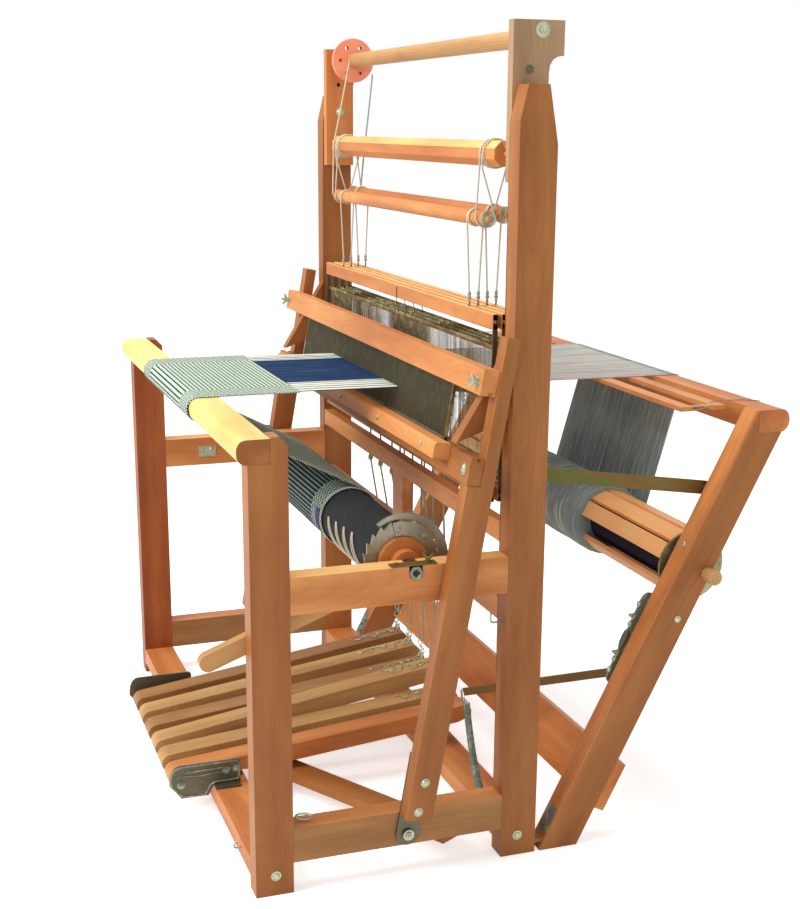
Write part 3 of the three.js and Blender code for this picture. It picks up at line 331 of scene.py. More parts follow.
wood = woodPaint("clearMaple", (230, 160, 94), (212, 138, 76), (188, 110, 56), (146, 82, 40))
# a paler copy of the clear maple for top faces that catch the light: painted highlight
woodTopHighlight = woodPaint("topHighlightMaple", (250, 204, 130), (240, 182, 108), (218, 150, 82), (172, 108, 58))
# a still paler copy for the breast beam, lit strongly from above and in front: painted light
woodBeamHighlight = woodPaint("beamHighlightMaple", (250, 224, 140), (245, 208, 122), (230, 180, 98), (196, 138, 72))
# a darker copy for posts, legs, swords, the support, the brace and the beam's ends, faces turned from the light:
# painted shade
woodShaded = woodPaint("shadedMaple", (182, 118, 60), (164, 101, 48), (144, 83, 36), (108, 58, 24))
woodGrey = woodPaint("greyMaple", (198, 160, 120), (180, 144, 108), (154, 118, 84), (118, 84, 56))
# a darker copy for the low rails and treadles 1 and 3, low down out of the light: painted shade
woodRailShade = woodPaint("railShadeMaple", (186, 132, 76), (162, 114, 64), (140, 94, 50), (108, 64, 32))
woodTread = woodPaint("treadleMaple", (214, 168, 108), (192, 144, 86), (166, 116, 64), (130, 84, 44))
woodWarm = woodPaint("warmMaple", (220, 146, 80), (200, 121, 62), (174, 95, 44), (136, 70, 32))
# a darker red copy for the far front post, which stands in shadow: painted shade
woodDeepShade = woodPaint("deepShadeMaple", (178, 98, 50), (156, 80, 36), (132, 62, 28), (100, 44, 20))
woodSlat = woodPaint("slatMaple", (255, 206, 138), (252, 184, 118), (238, 158, 92), (190, 112, 62))
discWood = woodPaint("discStain", (255, 172, 138), (248, 152, 118), (234, 130, 98), (200, 100, 74), 0.6)
zinc = metalPaint("zincPlate", (196, 200, 180), (146, 152, 128), (186, 194, 142), 0.28)
leverSteel = metalPaint("leverSteel", (146, 162, 142), (108, 124, 108), (178, 188, 168), 0.45, 0.3)
ratchetSteel = metalPaint("ratchetSteel", (176, 172, 154), (132, 130, 112), (150, 140, 124), 0.3, 0.75, 90)
darkSteel = metalPaint("darkSteel", (118, 114, 92), (78, 76, 62), (104, 94, 74), 0.36, 0.75)
chromate = metalPaint("yellowChromate", (116, 100, 44), (112, 74, 40), (70, 100, 38), 0.36, 0.6, 34)
galvanised = metalPaint("galvanisedSteel", (140, 152, 136), (96, 106, 96), (172, 184, 164), 0.36, 0.7)
brassWire = metalPaint("brassBar", (150, 130, 76), (96, 80, 46), (176, 156, 96), 0.3)
drumBrass = metalPaint("drumDisc", (164, 160, 116), (112, 108, 76), (178, 176, 138), 0.32, 0.8, 120)
# near-black for holes, painted on instead of cut open: painted shade
holeShade = metalPaint("paintedHoleShade", (44, 34, 30), (24, 18, 16), (58, 44, 38), 0.6, 0.2)
reedSteel = metalPaint("reedSteel", (116, 110, 86), (96, 90, 68), (120, 118, 94), 0.5, 0.3)
heddleSteel = metalPaint("heddleSteel", (158, 148, 106), (92, 82, 50), (196, 190, 156), 0.22)
cordPale = cordPaint("creamCord", (238, 228, 206), (178, 164, 136))
cordGrey = cordPaint("greyCord", (196, 198, 178), (122, 124, 106))
# near-black for the warp beam's core, seen in the gaps between the slats: painted shade
coreShade = apronPaint("paintedCoreShade", (18, 18, 30), (36, 34, 56))
apronBlack = apronPaint("blackApron", (18, 19, 24), (54, 56, 56))
blueYarn = yarnPaint("blueYarn", [(0.3, (18, 38, 72)), (0.55, (28, 56, 96)), (0.75, (66, 100, 136))], 0.1)
paleYarn = yarnPaint("paleYarn", [(0.3, (204, 212, 192)), (0.6, (234, 238, 222)), (0.8, (246, 248, 238))],
                     0.3)
darkYarn = yarnPaint("darkYarn", [(0.3, (26, 24, 44)), (0.6, (44, 36, 72)), (0.8, (70, 52, 104))], 0.15)
dyedYarn = yarnPaint("dyedYarn", [(0.3, (58, 62, 104)), (0.4, (98, 116, 132)), (0.48, (156, 178, 160)),
                                  (0.56, (118, 124, 146)), (0.64, (184, 194, 176)),
                                  (0.74, (220, 226, 206))], 0.12, 2.3, (232, 176, 176))
weave = weavePaint("wovenCloth", (204, 222, 200), (26, 34, 46), (64, 34, 100))
print("finishes made")


# Mesh helpers, all in millimetres of the loom's own frame
def angles(count):
    return [tau * k / count for k in range(count)]


def squareTo(ahead, spare):
    return (Vector((0, 0, 1)) if abs(ahead.z) < 0.9 else Vector(spare)).cross(ahead).normalized()


def loop(centre, forth, up, count=12):  # points of an upright ring
    centre, forth = Vector(centre), Vector(forth)
    return [centre + forth * cos(turn) + Vector((0, 0, up * sin(turn))) for turn in angles(count)]


def off(axis, y, z):
    return hypot(y - axis[0], z - axis[1])


class Form:
    def __init__(self, place=None):  # place turns the piece's own coordinates into the loom's
        self.points, self.faces, self.twists = [], [], []
        self.place = place

    def add(self, points, faces, twists=None):
        base = len(self.points)
        self.points += [self.place(*p) if self.place else tuple(p) for p in points]
        self.faces += [tuple(base + i for i in face) for face in faces]
        self.twists += twists or [(0.0, 0.0, 0.0)] * len(points)
        return self

    def skin(self, rings, wrap=False, strips=False, twists=None):  # rings of points, each joined to the next
        count, sides = len(rings), len(rings[0])
        last = (count - 1) * sides
        faces = []
        for i in range(count if wrap else count - 1):
            a, b = i * sides, (i + 1) % count * sides
            faces += [(a + k, a + (k + 1) % sides, b + (k + 1) % sides, b + k) for k in range(sides)]
        if strips:  # the ends in four-sided faces, for a ring folded on itself
            for k in range(sides // 2 - 1):
                end = (k, sides - 1 - k, sides - 2 - k, k + 1)
                faces += [end, tuple(last + n for n in reversed(end))]
        elif not wrap:
            faces += [tuple(reversed(range(sides))), tuple(range(last, last + sides))]
        return self.add([point for ring in rings for point in ring], faces, twists)

    def block(self, low, high):
        (a, b, c), (d, e, f) = low, high
        return self.skin([[(a, b, z), (d, b, z), (d, e, z), (a, e, z)] for z in (c, f)])

    def slab(self, outline, x0, x1):  # an outline in (y, z), thick along x
        return self.skin([[(x, y, z) for y, z in outline] for x in (x0, x1)])

    def tube(self, path, radius, sides=8, closed=False, number=0.0):
        path = [Vector(p) for p in path]
        rings, twists = [], []
        reach, side = 0.0, None
        count = len(path)
        for i, point in enumerate(path):
            before = path[i - 1] if i or closed else point
            after = path[(i + 1) % count] if i + 1 < count or closed else point
            ahead = (after - before).normalized()
            if side is None:
                side = squareTo(ahead, (1, 0, 0))
            else:
                side = (side - ahead * side.dot(ahead)).normalized()
                reach += (point - path[i - 1]).length
            other = ahead.cross(side)
            thick = radius[i] if isinstance(radius, (list, tuple)) else radius
            rings.append([point + (side * cos(turn) + other * sin(turn)) * thick for turn in angles(sides)])
            twists += [(reach / 1000, k / sides, number) for k in range(sides)]
        return self.skin(rings, closed, twists=twists)

    def turned(self, centre, profile, sides=24, axis=(1, 0, 0)):  # profile of (along, radius) about an axis
        centre, ahead = Vector(centre), Vector(axis).normalized()
        side = squareTo(ahead, (0, 1, 0))
        other = ahead.cross(side)
        return self.skin([[centre + ahead * along + (side * cos(turn) + other * sin(turn)) * radius
                           for turn in angles(sides)] for along, radius in profile])

    def piece(self, name, body, paint, slot, smooth=35, bevel=0, grain=None):
        mesh = bpy.data.meshes.new(name)
        mesh.from_pydata([at(*p) for p in self.points], [], self.faces)
        mesh.validate()
        mesh.materials.append(paint)
        twist = mesh.attributes.new("twist", "FLOAT_VECTOR", "POINT")
        twist.data.foreach_set("vector", [v for twists in self.twists for v in twists])
        thing = bpy.data.objects.new(name, mesh)
        bpy.context.scene.collection.objects.link(thing)
        if bevel:
            soften(thing, bevel, smooth)
        else:
            mesh.polygons.foreach_set("use_smooth", [True] * len(mesh.polygons))
            mesh.set_sharp_from_angle(angle=radians(smooth))
        if grain:
            lay(thing, *grain)
        if isinstance(body, str):
            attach(thing, body)
        else:  # body gives two bodies and where the piece leaves one for the other; the piece joins neither and keeps its place
            at(*body[2])
            at(*body[3])
            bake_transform(thing)
        return thing


def soften(thing, width, angle=30):  # round the edges and keep the faces flat
    mesh = thing.data
    shape = bmesh.new()
    shape.from_mesh(mesh)
    bmesh.ops.dissolve_limit(shape, angle_limit=radians(1), verts=shape.verts, edges=shape.edges)
    shape.to_mesh(mesh)
    shape.free()
    mesh.polygons.foreach_set("use_smooth", [True] * len(mesh.polygons))
    edge = thing.modifiers.new("edge", "BEVEL")
    edge.width, edge.segments, edge.limit_method = width / 1000, 3, "ANGLE"
    edge.angle_limit = radians(angle)
    edge.harden_normals = True
    made = bpy.data.meshes.new_from_object(thing.evaluated_get(bpy.context.evaluated_depsgraph_get()))
    thing.modifiers.clear()
    thing.data = made
    made.name = thing.name


grainCount = 0


def lay(thing, along, side=(0, 0, 1)):  # the wood's grain, along one direction, new for every board
    global grainCount
    grainCount += 1
    chance = random.Random(grainCount)
    along = Vector(along).normalized()
    other = along.cross(Vector(side)).normalized()
    third = along.cross(other)
    mesh = thing.data
    offset = [chance.uniform(-9, 9), chance.uniform(-0.08, 0.08), chance.uniform(0.02, 0.16)]
    centre = sum((v.co for v in mesh.vertices), Vector()) / len(mesh.vertices)
    grain = mesh.attributes.new("grain", "FLOAT_VECTOR", "POINT")
    values = []
    for vertex in mesh.vertices:
        local = vertex.co - centre
        values += [vertex.co.dot(along) + offset[0], local.dot(other) + offset[1],
                   local.dot(third) + offset[2]]
    grain.data.foreach_set("vector", values)


def retouch(thing, others):  # faces of another finish, or of a lighter or darker copy of one, which is painted highlight or shade
    for other, here in others:
        thing.data.materials.append(other)
        for face in thing.data.polygons:
            x, y, z = face.center * 1000
            if here(x, y - frontFace * 1000, z):
                face.material_index = len(thing.data.materials) - 1


def rounded(node, body, paint, width=2.5, along=(1, 0, 0), side=(0, 0, 1), others=()):
    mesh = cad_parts[node].data.copy()
    mesh.name = node + "Rounded"
    mesh.materials.clear()
    mesh.materials.append(paint)
    thing = bpy.data.objects.new(node + "Rounded", mesh)
    bpy.context.scene.collection.objects.link(thing)
    soften(thing, width)
    retouch(thing, others)
    lay(thing, along, side)
    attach(thing, body)
    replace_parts(thing, node)
    return thing


def smoothPath(points, steps=6):
    points = [Vector(p) for p in points]
    ends = [points[0] * 2 - points[1]] + points + [points[-1] * 2 - points[-2]]
    path = []
    for i in range(len(points) - 1):
        a, b, c, d = ends[i:i + 4]
        for k in range(steps):
            t = k / steps
            path.append(0.5 * ((2 * b) + (c - a) * t + (2 * a - 5 * b + 4 * c - d) * t ** 2
                               + (3 * b - a - 3 * c + d) * t ** 3))
    return path + [points[-1]]


def cordPiece(name, path, radius, body, paint, lie="taut"):  # lie is None for a short wound or laced end
    thing = Form().tube(path, radius).piece(name, body, paint, "cord", 80)
    if not lie:
        return thing
    route = [at(*p) for p in path]
    radius / 500
    return thing


def bolt(form, place, axis, head=7.5, thick=5, washer=11, domed=False):
    form.turned(place, [(0, washer), (1.2, washer), (1.6, washer - 1)], 24, axis)
    if domed:
        profile = [(1.6, head)] + [(1.6 + thick * sin(a * pi / 8), head * cos(a * pi / 8))
                                   for a in range(1, 4)]
        form.turned(place, profile + [(1.6 + thick, 0.6)], 20, axis)
    else:
        form.turned(place, [(1.6, head), (1.6 + thick - 0.8, head), (1.6 + thick, head - 1)], 6, axis)
        form.turned(place, [(1.6 + thick, 4), (1.6 + thick + 2.5, 3.6), (1.6 + thick + 3, 3)], 12, axis)


# Cords of the shaft lift, and their turns round the rollers
lift = {"radius": 1.6, "x": 414, "apart": 12, "octagon": (473, 1228), "corner": 22.73, "roller": 13,
        "front": (458.5, 1120), "rear": (492.5, 1127), "upright": 24, "rise": 6, "turns at": 376}


def liftCord(name, side, roller, out, body):
    rollerY, rollerZ = roller
    octagonY, octagonZ = lift["octagon"]
    wrap = lift["roller"] + lift["radius"] + 0.3
    topY = octagonY + out * (lift["corner"] + lift["radius"] + 0.4)
    first, second = side * lift["x"], side * (lift["x"] + lift["apart"])
    bend = octagonZ - lift["upright"]
    down = [(first, topY, octagonZ), (first, topY, bend + 6), (first, topY - 0.04 * out, bend),
            (first, rollerY - wrap, rollerZ + lift["rise"])]
    under = []
    for i in range(9):
        turn = pi + pi * i / 8
        across = first + (second - first) * i / 8
        under.append((across, rollerY + wrap * cos(turn), rollerZ + wrap * sin(turn)))
    rise = [(second, rollerY + wrap, rollerZ + lift["rise"]), (second, topY - 0.04 * out, bend),
            (second, topY, bend + 6), (second, topY, octagonZ)]
    return cordPiece(name, down + under + rise, lift["radius"], body, cordPale)


def wound(name, body, y, z, inner, x, turns, side, radius=1.5):  # turns of cord round a roller
    path = []
    for i in range(turns * 16 + 1):
        turn = tau * i / 16
        reach = inner + radius + 0.15
        path.append((x + side * (i / 16 - turns / 2) * radius * 2.08, y + reach * cos(turn),
                     z + reach * sin(turn)))
    cordPiece(name, path, radius, body, cordPale, None)


for side, word in ((1, "near"), (-1, "far")):
    for end, out in (("front", -1), ("rear", 1)):
        cord = liftCord(f"{end}Lift{word.title()}", side, lift[end], out, f"{end}_hanger")
        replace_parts(cord, f"{end}_lift_cord_{word}")
    for k in range(2):
        wound(f"octagonTurns{word.title()}{k + 1}", "octagonal_roller", *lift["octagon"], lift["corner"] + 0.1,
              side * (lift["x"] + lift["apart"] * k), 2, side, 1.3)
    for end in ("front", "rear"):
        wound(f"{end}Turns{word.title()}", f"{end}_roller", *lift[end], lift["roller"],
              side * lift["turns at"], 3, side)

cordPiece("discCordFront", [(-444, 486, 1409), (-442, 470, 1332), (-438, 447, 1230), (-434, 443.2, 1122)],
          1.8, ("frame", "front_hanger", (-440, 460, 1280), (-434, 443.2, 1124)), cordPale)
cordPiece("discCordRear", [(-464, 546, 1382), (-456, 534, 1300), (-446, 520, 1210), (-436, 508.6, 1128)],
          1.8, ("frame", "rear_hanger", (-456, 534, 1300), (-436, 508.6, 1130)), cordGrey)
print("lift cords done")

# Shafts: bars, end plates, heddle bars, heddles and the cords that carry them
shaft = {"half": 495, "thick": 11, "top": (940, 967), "bottom": (640, 664), "plate": (3, 9), "bars": (905, 676),
         "bar": (2, 8), "eye": 797, "cord x": 375, "first": 450, "pitch": 17}


def makeShaft(index):
    body = f"shaft_{index + 1}"
    y = shaft["first"] + index * shaft["pitch"]
    half, thick = shaft["half"], shaft["thick"] / 2
    (plateThick, plateWide), (barThick, barHigh) = shaft["plate"], shaft["bar"]
    bars = Form()
    for low, high in (shaft["top"], shaft["bottom"]):
        bars.block((-half, y - thick, low), (half, y + thick, high))
    made = bars.piece(f"shaftBars{index + 1}", body, wood, "maple", bevel=1.6, grain=((1, 0, 0),))
    # the bars' top faces in the paler copy: painted highlight
    retouch(made, [(woodTopHighlight, lambda x, y, z: z > shaft["top"][1] - 0.9)])
    steel = Form()
    for side in (-1, 1):
        inner, outer = sorted((side * (half - plateThick), side * half))
        steel.block((inner, y - plateWide / 2, 640.5), (outer, y + plateWide / 2, 966))
        for z in (652, 953):
            bolt(steel, (side * (half - 0.5), y, z), (side, 0, 0), 3.2, 2.6, 4.4, True)
    steel.piece(f"shaftPlates{index + 1}", body, darkSteel, "dark_steel", bevel=0.6)
    brass = Form()
    for z in shaft["bars"]:
        brass.block((0.3 - half, y - barThick / 2, z), (half - 0.3, y + barThick / 2, z + barHigh))
    brass.piece(f"heddleBars{index + 1}", body, brassWire, "chromate", bevel=0.5)
    wires = Form()
    chance = random.Random(40 + index)
    places = [-245 + 5.2 * (k + index / 4) for k in range(84)]
    places += [-465 + 4 * k + index for k in range(30)] + [290 + 6 * k + index for k in range(24)]
    eye = shaft["eye"]
    for x in places:
        sway = chance.uniform(-0.8, 0.8)
        wires.tube([(x, y - 1.4, 684), (x + sway * 0.4, y, 740), (x + sway, y, eye - 4)], 0.5, 4)
        wires.tube([(x + sway, y, eye + 4), (x + sway * 0.4, y, 850), (x, y - 1.4, 905)], 0.5, 4)
        wires.tube(loop((x + sway, y, eye), (1.5, 0, 0), 4.4, 8), 0.4, 4, True)
        for z, way in ((684, -1), (905, 1)):
            wires.tube([(x, y - 1.4, z), (x, y - 2, z + way * 4), (x, y, z + way * 9), (x, y + 2, z + way * 4)],
                       0.42, 4)
    wires.piece(f"heddles{index + 1}", body, heddleSteel, "reed_steel", 60)
    rollerY, rollerZ = lift["front"] if index < 2 else lift["rear"]
    out = -1 if index % 2 == 0 else 1
    cordY = rollerY + out * (lift["roller"] + lift["radius"] + 0.8)
    eyes, knots = Form(), Form()
    for k, x in enumerate((-shaft["cord x"], shaft["cord x"])):
        cordPiece(f"shaftCord{index + 1}{('Far', 'Near')[k]}",
                  [(x, cordY, rollerZ), (x, cordY + (y - cordY) * 0.5, (rollerZ + 990) / 2), (x, y, 981)],
                  lift["radius"], body, cordPale)
        eyes.tube(loop((x, y, 974.5), (3.6, 0, 0), 4.2), 0.9, 6, True)
        eyes.turned((x, y, 966), [(0, 3.2), (1, 3.2), (1.4, 1.6), (5, 1.4)], 10, (0, 0, 1))
        knot = [(0, 1.4), (2, 3.6), (5, 3.2), (7, 2.1), (9, 3.1), (13, 2.8), (15, 1.3)]
        knots.turned((x, y, 978), knot, 10, (0, 0, 1))
        knots.tube([(x, y, 982), (x + 4, y - 2, 979), (x + 7, y - 3, 972)], 1.2, 6)
    eyes.piece(f"shaftEyes{index + 1}", body, darkSteel, "dark_steel")
    knots.piece(f"shaftKnots{index + 1}", body, cordGrey, "cord", 70)
    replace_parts(made, body)
    middle = Form().tube([(4, y - 6.6, 962), (4, y - 6.9, 935), (4, y - 1.8, 915), (4, y - 1.6, 906)], 0.8, 6)
    middle.piece(f"middleHook{index + 1}", body, darkSteel, "dark_steel")


for index in range(4):
    makeShaft(index)
print("shafts done")

# Rollers at the castle's head
head = {"axis": (503.5, 1411), "disc": (-483, -470), "rod": 15.5, "holes": 30.5, "hole": 4.6, "washer": 433.2}
# its top faces in the paler copy: painted highlight; the bands where the cords lie are cord colour
rounded("octagonal_roller", "octagonal_roller", woodWarm, 0.8,
        others=[(woodTopHighlight, lambda x, y, z: z > lift["octagon"][1] + 12),
                (cordPale, lambda x, y, z: min(abs(abs(x) - lift["x"] - k * lift["apart"])
                                               for k in (0, 1)) < 3)])
rounded("front_roller", "front_roller", wood, 0.6)
rounded("rear_roller", "rear_roller", woodWarm, 0.6)
# the disc's holes painted near-black instead of cut: painted shade
rounded("top_roller", "top_roller", woodTread, 0.8,
        others=[(discWood, lambda x, y, z: head["disc"][0] < x < head["disc"][1]
                 and off(head["axis"], y, z) > head["rod"]),
                (holeShade, lambda x, y, z: head["disc"][0] + 1 < x < head["disc"][1] - 1
                 and abs(off(head["axis"], y, z) - head["holes"]) < head["hole"])])
ends = Form()
for y, z in (lift["front"], lift["rear"]):
    for side in (-1, 1):
        ends.turned((side * head["washer"], y, z), [(0, 6.5), (0.1, 14), (2.2, 14), (2.6, 13)], 28,
                    (side, 0, 0))
        bolt(ends, (side * (head["washer"] + 2.8), y, z), (side, 0, 0), 5.2, 4, 7.5)
ends.piece("rollerWashers", "frame", zinc, "zinc")
print("rollers done")


# Frame: posts, rails and boards
loom = {"outer": 576, "inner": 534, "edge": 3.5, "rail edge": 3}  # half widths, and how round the edges are
for word in ("near", "far"):
    # the posts in the darker copy, the far front post in the darkest: painted shade
    post = woodShaded if word == "near" else woodDeepShade
    rounded(f"front_post_{word}", "frame", post, loom["edge"], (0, 0, 1), (1, 0, 0))
    rounded(f"castle_post_{word}", "frame", woodShaded, loom["edge"], (0, 0, 1), (1, 0, 0))
    # the rails' tops in the paler copy: painted highlight
    rounded(f"mid_rail_{word}", "frame", wood, loom["rail edge"], (0, 1, 0), (1, 0, 0),
            others=[(woodTopHighlight, lambda x, y, z: z > 563)])
    # the low rails in the darker copy with their tops in the plain maple: painted shade and light
    rounded(f"low_rail_{word}", "frame", woodRailShade, loom["rail edge"], (0, 1, 0), (1, 0, 0),
            others=[(wood, lambda x, y, z: z > 119)])
    board = woodGrey if word == "near" else woodWarm
    rounded(f"castle_extension_{word}", "frame", board, 2, (0, 0, 1), (1, 0, 0))
# the breast beam in the palest copy, its end faces in the darker one: painted light and shade
rounded("breast_beam", "frame", woodBeamHighlight, 3, others=[(woodShaded, lambda x, y, z: abs(x) > loom["outer"] - 2)])
for node in ("front_board", "castle_bottom_board"):
    rounded(node, "frame", woodWarm)
# the brace in the darker copy: painted shade
rounded("floor_brace", "frame", woodShaded, 2, (518, 300, 0))
rounded("castle_cross_rail", "frame", wood)

fixings = Form()
for side in (-1, 1):
    outward, inward = (side, 0, 0), (-side, 0, 0)
    for y, z in ((34.7, 36.5), (481.3, 38.5)):
        bolt(fixings, (side * (loom["outer"] - 0.2), y, z), outward, 6.6, 4.5, 9, True)
    bolt(fixings, (side * (loom["inner"] - 0.5), 503.3, 1421), outward, 6.5, 5, 12.5)
    for z in (1301, 1239, 1206):
        bolt(fixings, (side * 513.9, 484, z), inward, 6.5, 4.5, 9, True)
    for y in (12, 54):
        bolt(fixings, (side * 555, y, 755), (0, 0, -1), 3, 2, 4, True)
fixings.piece("frameBolts", "frame", zinc, "zinc")
bushes = Form()
for side in (-1, 1):
    bushes.turned((side * 533.4, 482, 1360), [(0, 7.5), (1, 7.2), (1, 4.5), (0.2, 4)], 20, (side, 0, 0))
bushes.piece("extensionBushes", "frame", darkSteel, "dark_steel")

eye = Form()  # a screw eye on the near low rail, a hook on the castle post and one on the front board
eye.tube(loop((555, 90, 128.6), (4, 13, 0), 5.5, 16), 2, 8, True)
eye.turned((555, 78, 119.8), [(0, 4), (1.5, 4), (2, 2.2), (7, 2)], 12, (0, 0, 1))
for x, thick, bend in ((553, 1.9, [(450.5, 441), (436, 440.5), (430.5, 442), (429, 447), (429, 458)]),
                       (464, 1.7, [(-0.5, 40), (-9, 40), (-13, 44), (-10, 50), (-4, 51)])):
    eye.tube(smoothPath([(x, y, z) for y, z in bend], 5), thick, 8)
eye.piece("frameHooks", "frame", zinc, "zinc")

strap = Form()
strap.block((556, 240, 564.3), (575.6, 321, 566.6))
bolt(strap, (565.5, 250, 566.6), (0, 0, 1), 4.5, 2.4, 5.2, True)
bolt(strap, (565.5, 307, 566.6), (0, 0, 1), 4.4, 4, 7)
for turn in (0.7, 3.84):
    along = Vector((cos(turn), sin(turn), 0))
    root = Vector((565.5, 307, 572.5))
    strap.tube([root, root + along * 6 + Vector((0, 0, 3.5)), root + along * 10 + Vector((0, 0, 9.5))],
               [3, 2.8, 1.4], 8)
strap.piece("bearingStrap", "frame", chromate, "zinc", bevel=0.5)
plate = Form().block((-533.9, 143, 519), (-532.4, 183, 544))
bolt(plate, (-532.6, 173, 537), (1, 0, 0), 3.6, 2, 5, True)
bolt(plate, (-532.6, 152, 526), (1, 0, 0), 1.8, 1.2, 2.6, True)
plate.piece("railPlate", "frame", zinc, "zinc", bevel=0.4)
print("frame done")

# Treadles, their bracket and the ties
treadles = {"edge": 2.5, "angles": [7.9, 7.6, 6.4, 8.6, 5.5, 5.5], "pivot": (-62, 66), "pitch": 76,
            "first": -190, "eye": 588, "bracket": 239.8}


def onTreadle(k, along, above):
    turn = radians(treadles["angles"][k])
    y, z = treadles["pivot"]
    return (treadles["first"] + k * treadles["pitch"], y + along * cos(turn) - above * sin(turn),
            z + along * sin(turn) + above * cos(turn))


# treadles 1 and 3 in the low rails' darker copy: painted shade
treadleWoods = [woodRailShade, woodTread, woodRailShade, woodTread, woodTread, woodWarm]
for k, angle in enumerate(treadles["angles"]):
    slope = (0, cos(radians(angle)), sin(radians(angle)))
    rounded(f"treadle_{k + 1}", f"treadle_{k + 1}", treadleWoods[k], treadles["edge"], slope, (1, 0, 0),
            others=[(zinc, lambda x, y, z: x > 193 and y > 505 and z > 143)] if k == 5 else [])
rounded("treadle_brackets", "frame", darkSteel, 1.4, (0, 1, 0))
nuts = Form()
for side in (-1, 1):
    for y, z in ((24, 84), (43, 86)):
        bolt(nuts, (side * treadles["bracket"], y, z), (side, 0, 0), 5, 3.5, 7)
    bolt(nuts, (side * treadles["bracket"], *treadles["pivot"]), (side, 0, 0), 6.5, 4, 8)
    for y in (12, 40):
        bolt(nuts, (side * 226, y, 60.6), (0, 0, 1), 4, 2.5, 5.5, True)
nuts.piece("bracketBolts", "frame", galvanised, "dark_steel")
lips = Form()
rims = [(2, [(-81, 68), (-80.5, 84), (-76, 95), (-68, 100), (-60, 101.4), (-20, 101.4), (20, 101.4), (44, 101.4),
             (49, 97), (49.4, 80), (48, 65), (30, 63.6), (4, 63.6), (-6, 60), (-12, 48), (-18, 41), (-50, 41),
             (-62, 44), (-72, 55)]),
        (1.4, [(-58, 84), (-52, 90), (20, 91), (38, 88), (30, 84), (-30, 80)])]
for side in (-1, 1):
    for thick, rim in rims:
        lips.tube([(side * (treadles["bracket"] + 0.6), y, z) for y, z in rim], thick, 8, True)
lips.piece("bracketLips", "frame", galvanised, "dark_steel", 60)

chance = random.Random(21)
ties = {"radius": 1.3, "tops": [-256, -187, -110, -31, 24, 90, 150, 214], "knot": 557,
        "pairs": [(0, 2), (1, 3), (2, 4), (3, 5), (5, 6)]}
for k, pair in enumerate(ties["pairs"]):
    hooks, knots = Form(), Form()
    for j, top in enumerate(pair):
        x, y, z = onTreadle(k, treadles["eye"], 18)
        x += -9 + 18 * j
        topX, topY = ties["tops"][top] + 4 * j, 475 + 17 * j
        hookTop = (x, y, z + 46)
        for strand in (-1, 1):
            route = smoothPath([(topX + strand * 1.6, topY, 640), (topX + strand * 2.2, topY, ties["knot"] + 6),
                                (topX + strand * 2.4, topY, ties["knot"] - 4),
                                (hookTop[0] + strand * 1.5, hookTop[1], hookTop[2])], 6)
            body = ("frame", f"treadle_{k + 1}", (topX, topY, 500), hookTop)
            cordPiece(f"tie{k + 1}{'ab'[j]}{'LR'[strand > 0]}", route, ties["radius"], body, cordGrey)
        for z0, knot in ((ties["knot"] - 7, [(0, 2), (2, 5), (8, 5.6), (13, 4.2), (16, 2)]),
                         (632, [(0, 1.5), (2, 2.3), (6, 2.3), (7.5, 1.4)])):
            knots.turned((topX, topY, z0), knot, 10, (0, 0, 1))
        hooks.tube([(x + 4.4 * sin(a * 8.6), y + 3 * cos(a * 5), hookTop[2] + 3 - a * 22)
                    for a in (i / 14 for i in range(15))], 1.1, 6)
        for link in range(3):
            forth = (3, 0, 0) if link % 2 else (0, 3, 0)
            hooks.tube(loop((x, y, z + 21 - link * 7.5), forth, 5.4), 0.9, 6, True)
    screwX, screwY, screwZ = onTreadle(k, treadles["eye"], 19)
    for j in (-9, 9):
        hooks.tube(loop((screwX + j, screwY, screwZ + 2), (0, 4, 0), 5), 1.1, 6, True)
    for n in range(6):  # spare wire hooks, lying at the tail
        x, y, z = onTreadle(k, 486 + 17 * n, 19.4)
        heading, x = chance.uniform(0, pi), x + chance.uniform(-7, 7)
        shape = [(-15, 3), (-13, -3), (-8, -4), (-5, 1), (5, -1), (8, 4), (13, 3), (15, -3)]
        slant = tan(radians(treadles["angles"][k]))
        path = []
        for a, b in shape:
            forth = a * sin(heading) + b * cos(heading)
            path.append((x + a * cos(heading) - b * sin(heading), y + forth,
                         z + 1 + forth * slant + 1.6 * abs(sin(a + n))))
        hooks.tube(smoothPath(path, 3), 0.9, 6)
    hooks.piece(f"tieHooks{k + 1}", f"treadle_{k + 1}", zinc, "zinc")
    knots.piece(f"tieKnots{k + 1}", "frame", cordGrey, "cord", 60)
print("treadles done")

# Beater
lean = atan(0.173)


def onBeater(x, depth, height):  # from the swords' own line to the loom
    return (x, 270 + depth * cos(lean) + height * sin(lean),
            79 - depth * sin(lean) + height * cos(lean))


beaterUp = (0, sin(lean), cos(lean))
ahead = (0, -cos(lean), sin(lean))
for word in ("near", "far"):
    # the swords in the darker copy: painted shade
    rounded(f"beater_sword_{word}", "beater", woodShaded, 3, beaterUp, (1, 0, 0))
    rounded(f"beater_pivot_plate_{word}", "beater", darkSteel, 1.2, beaterUp, (1, 0, 0))
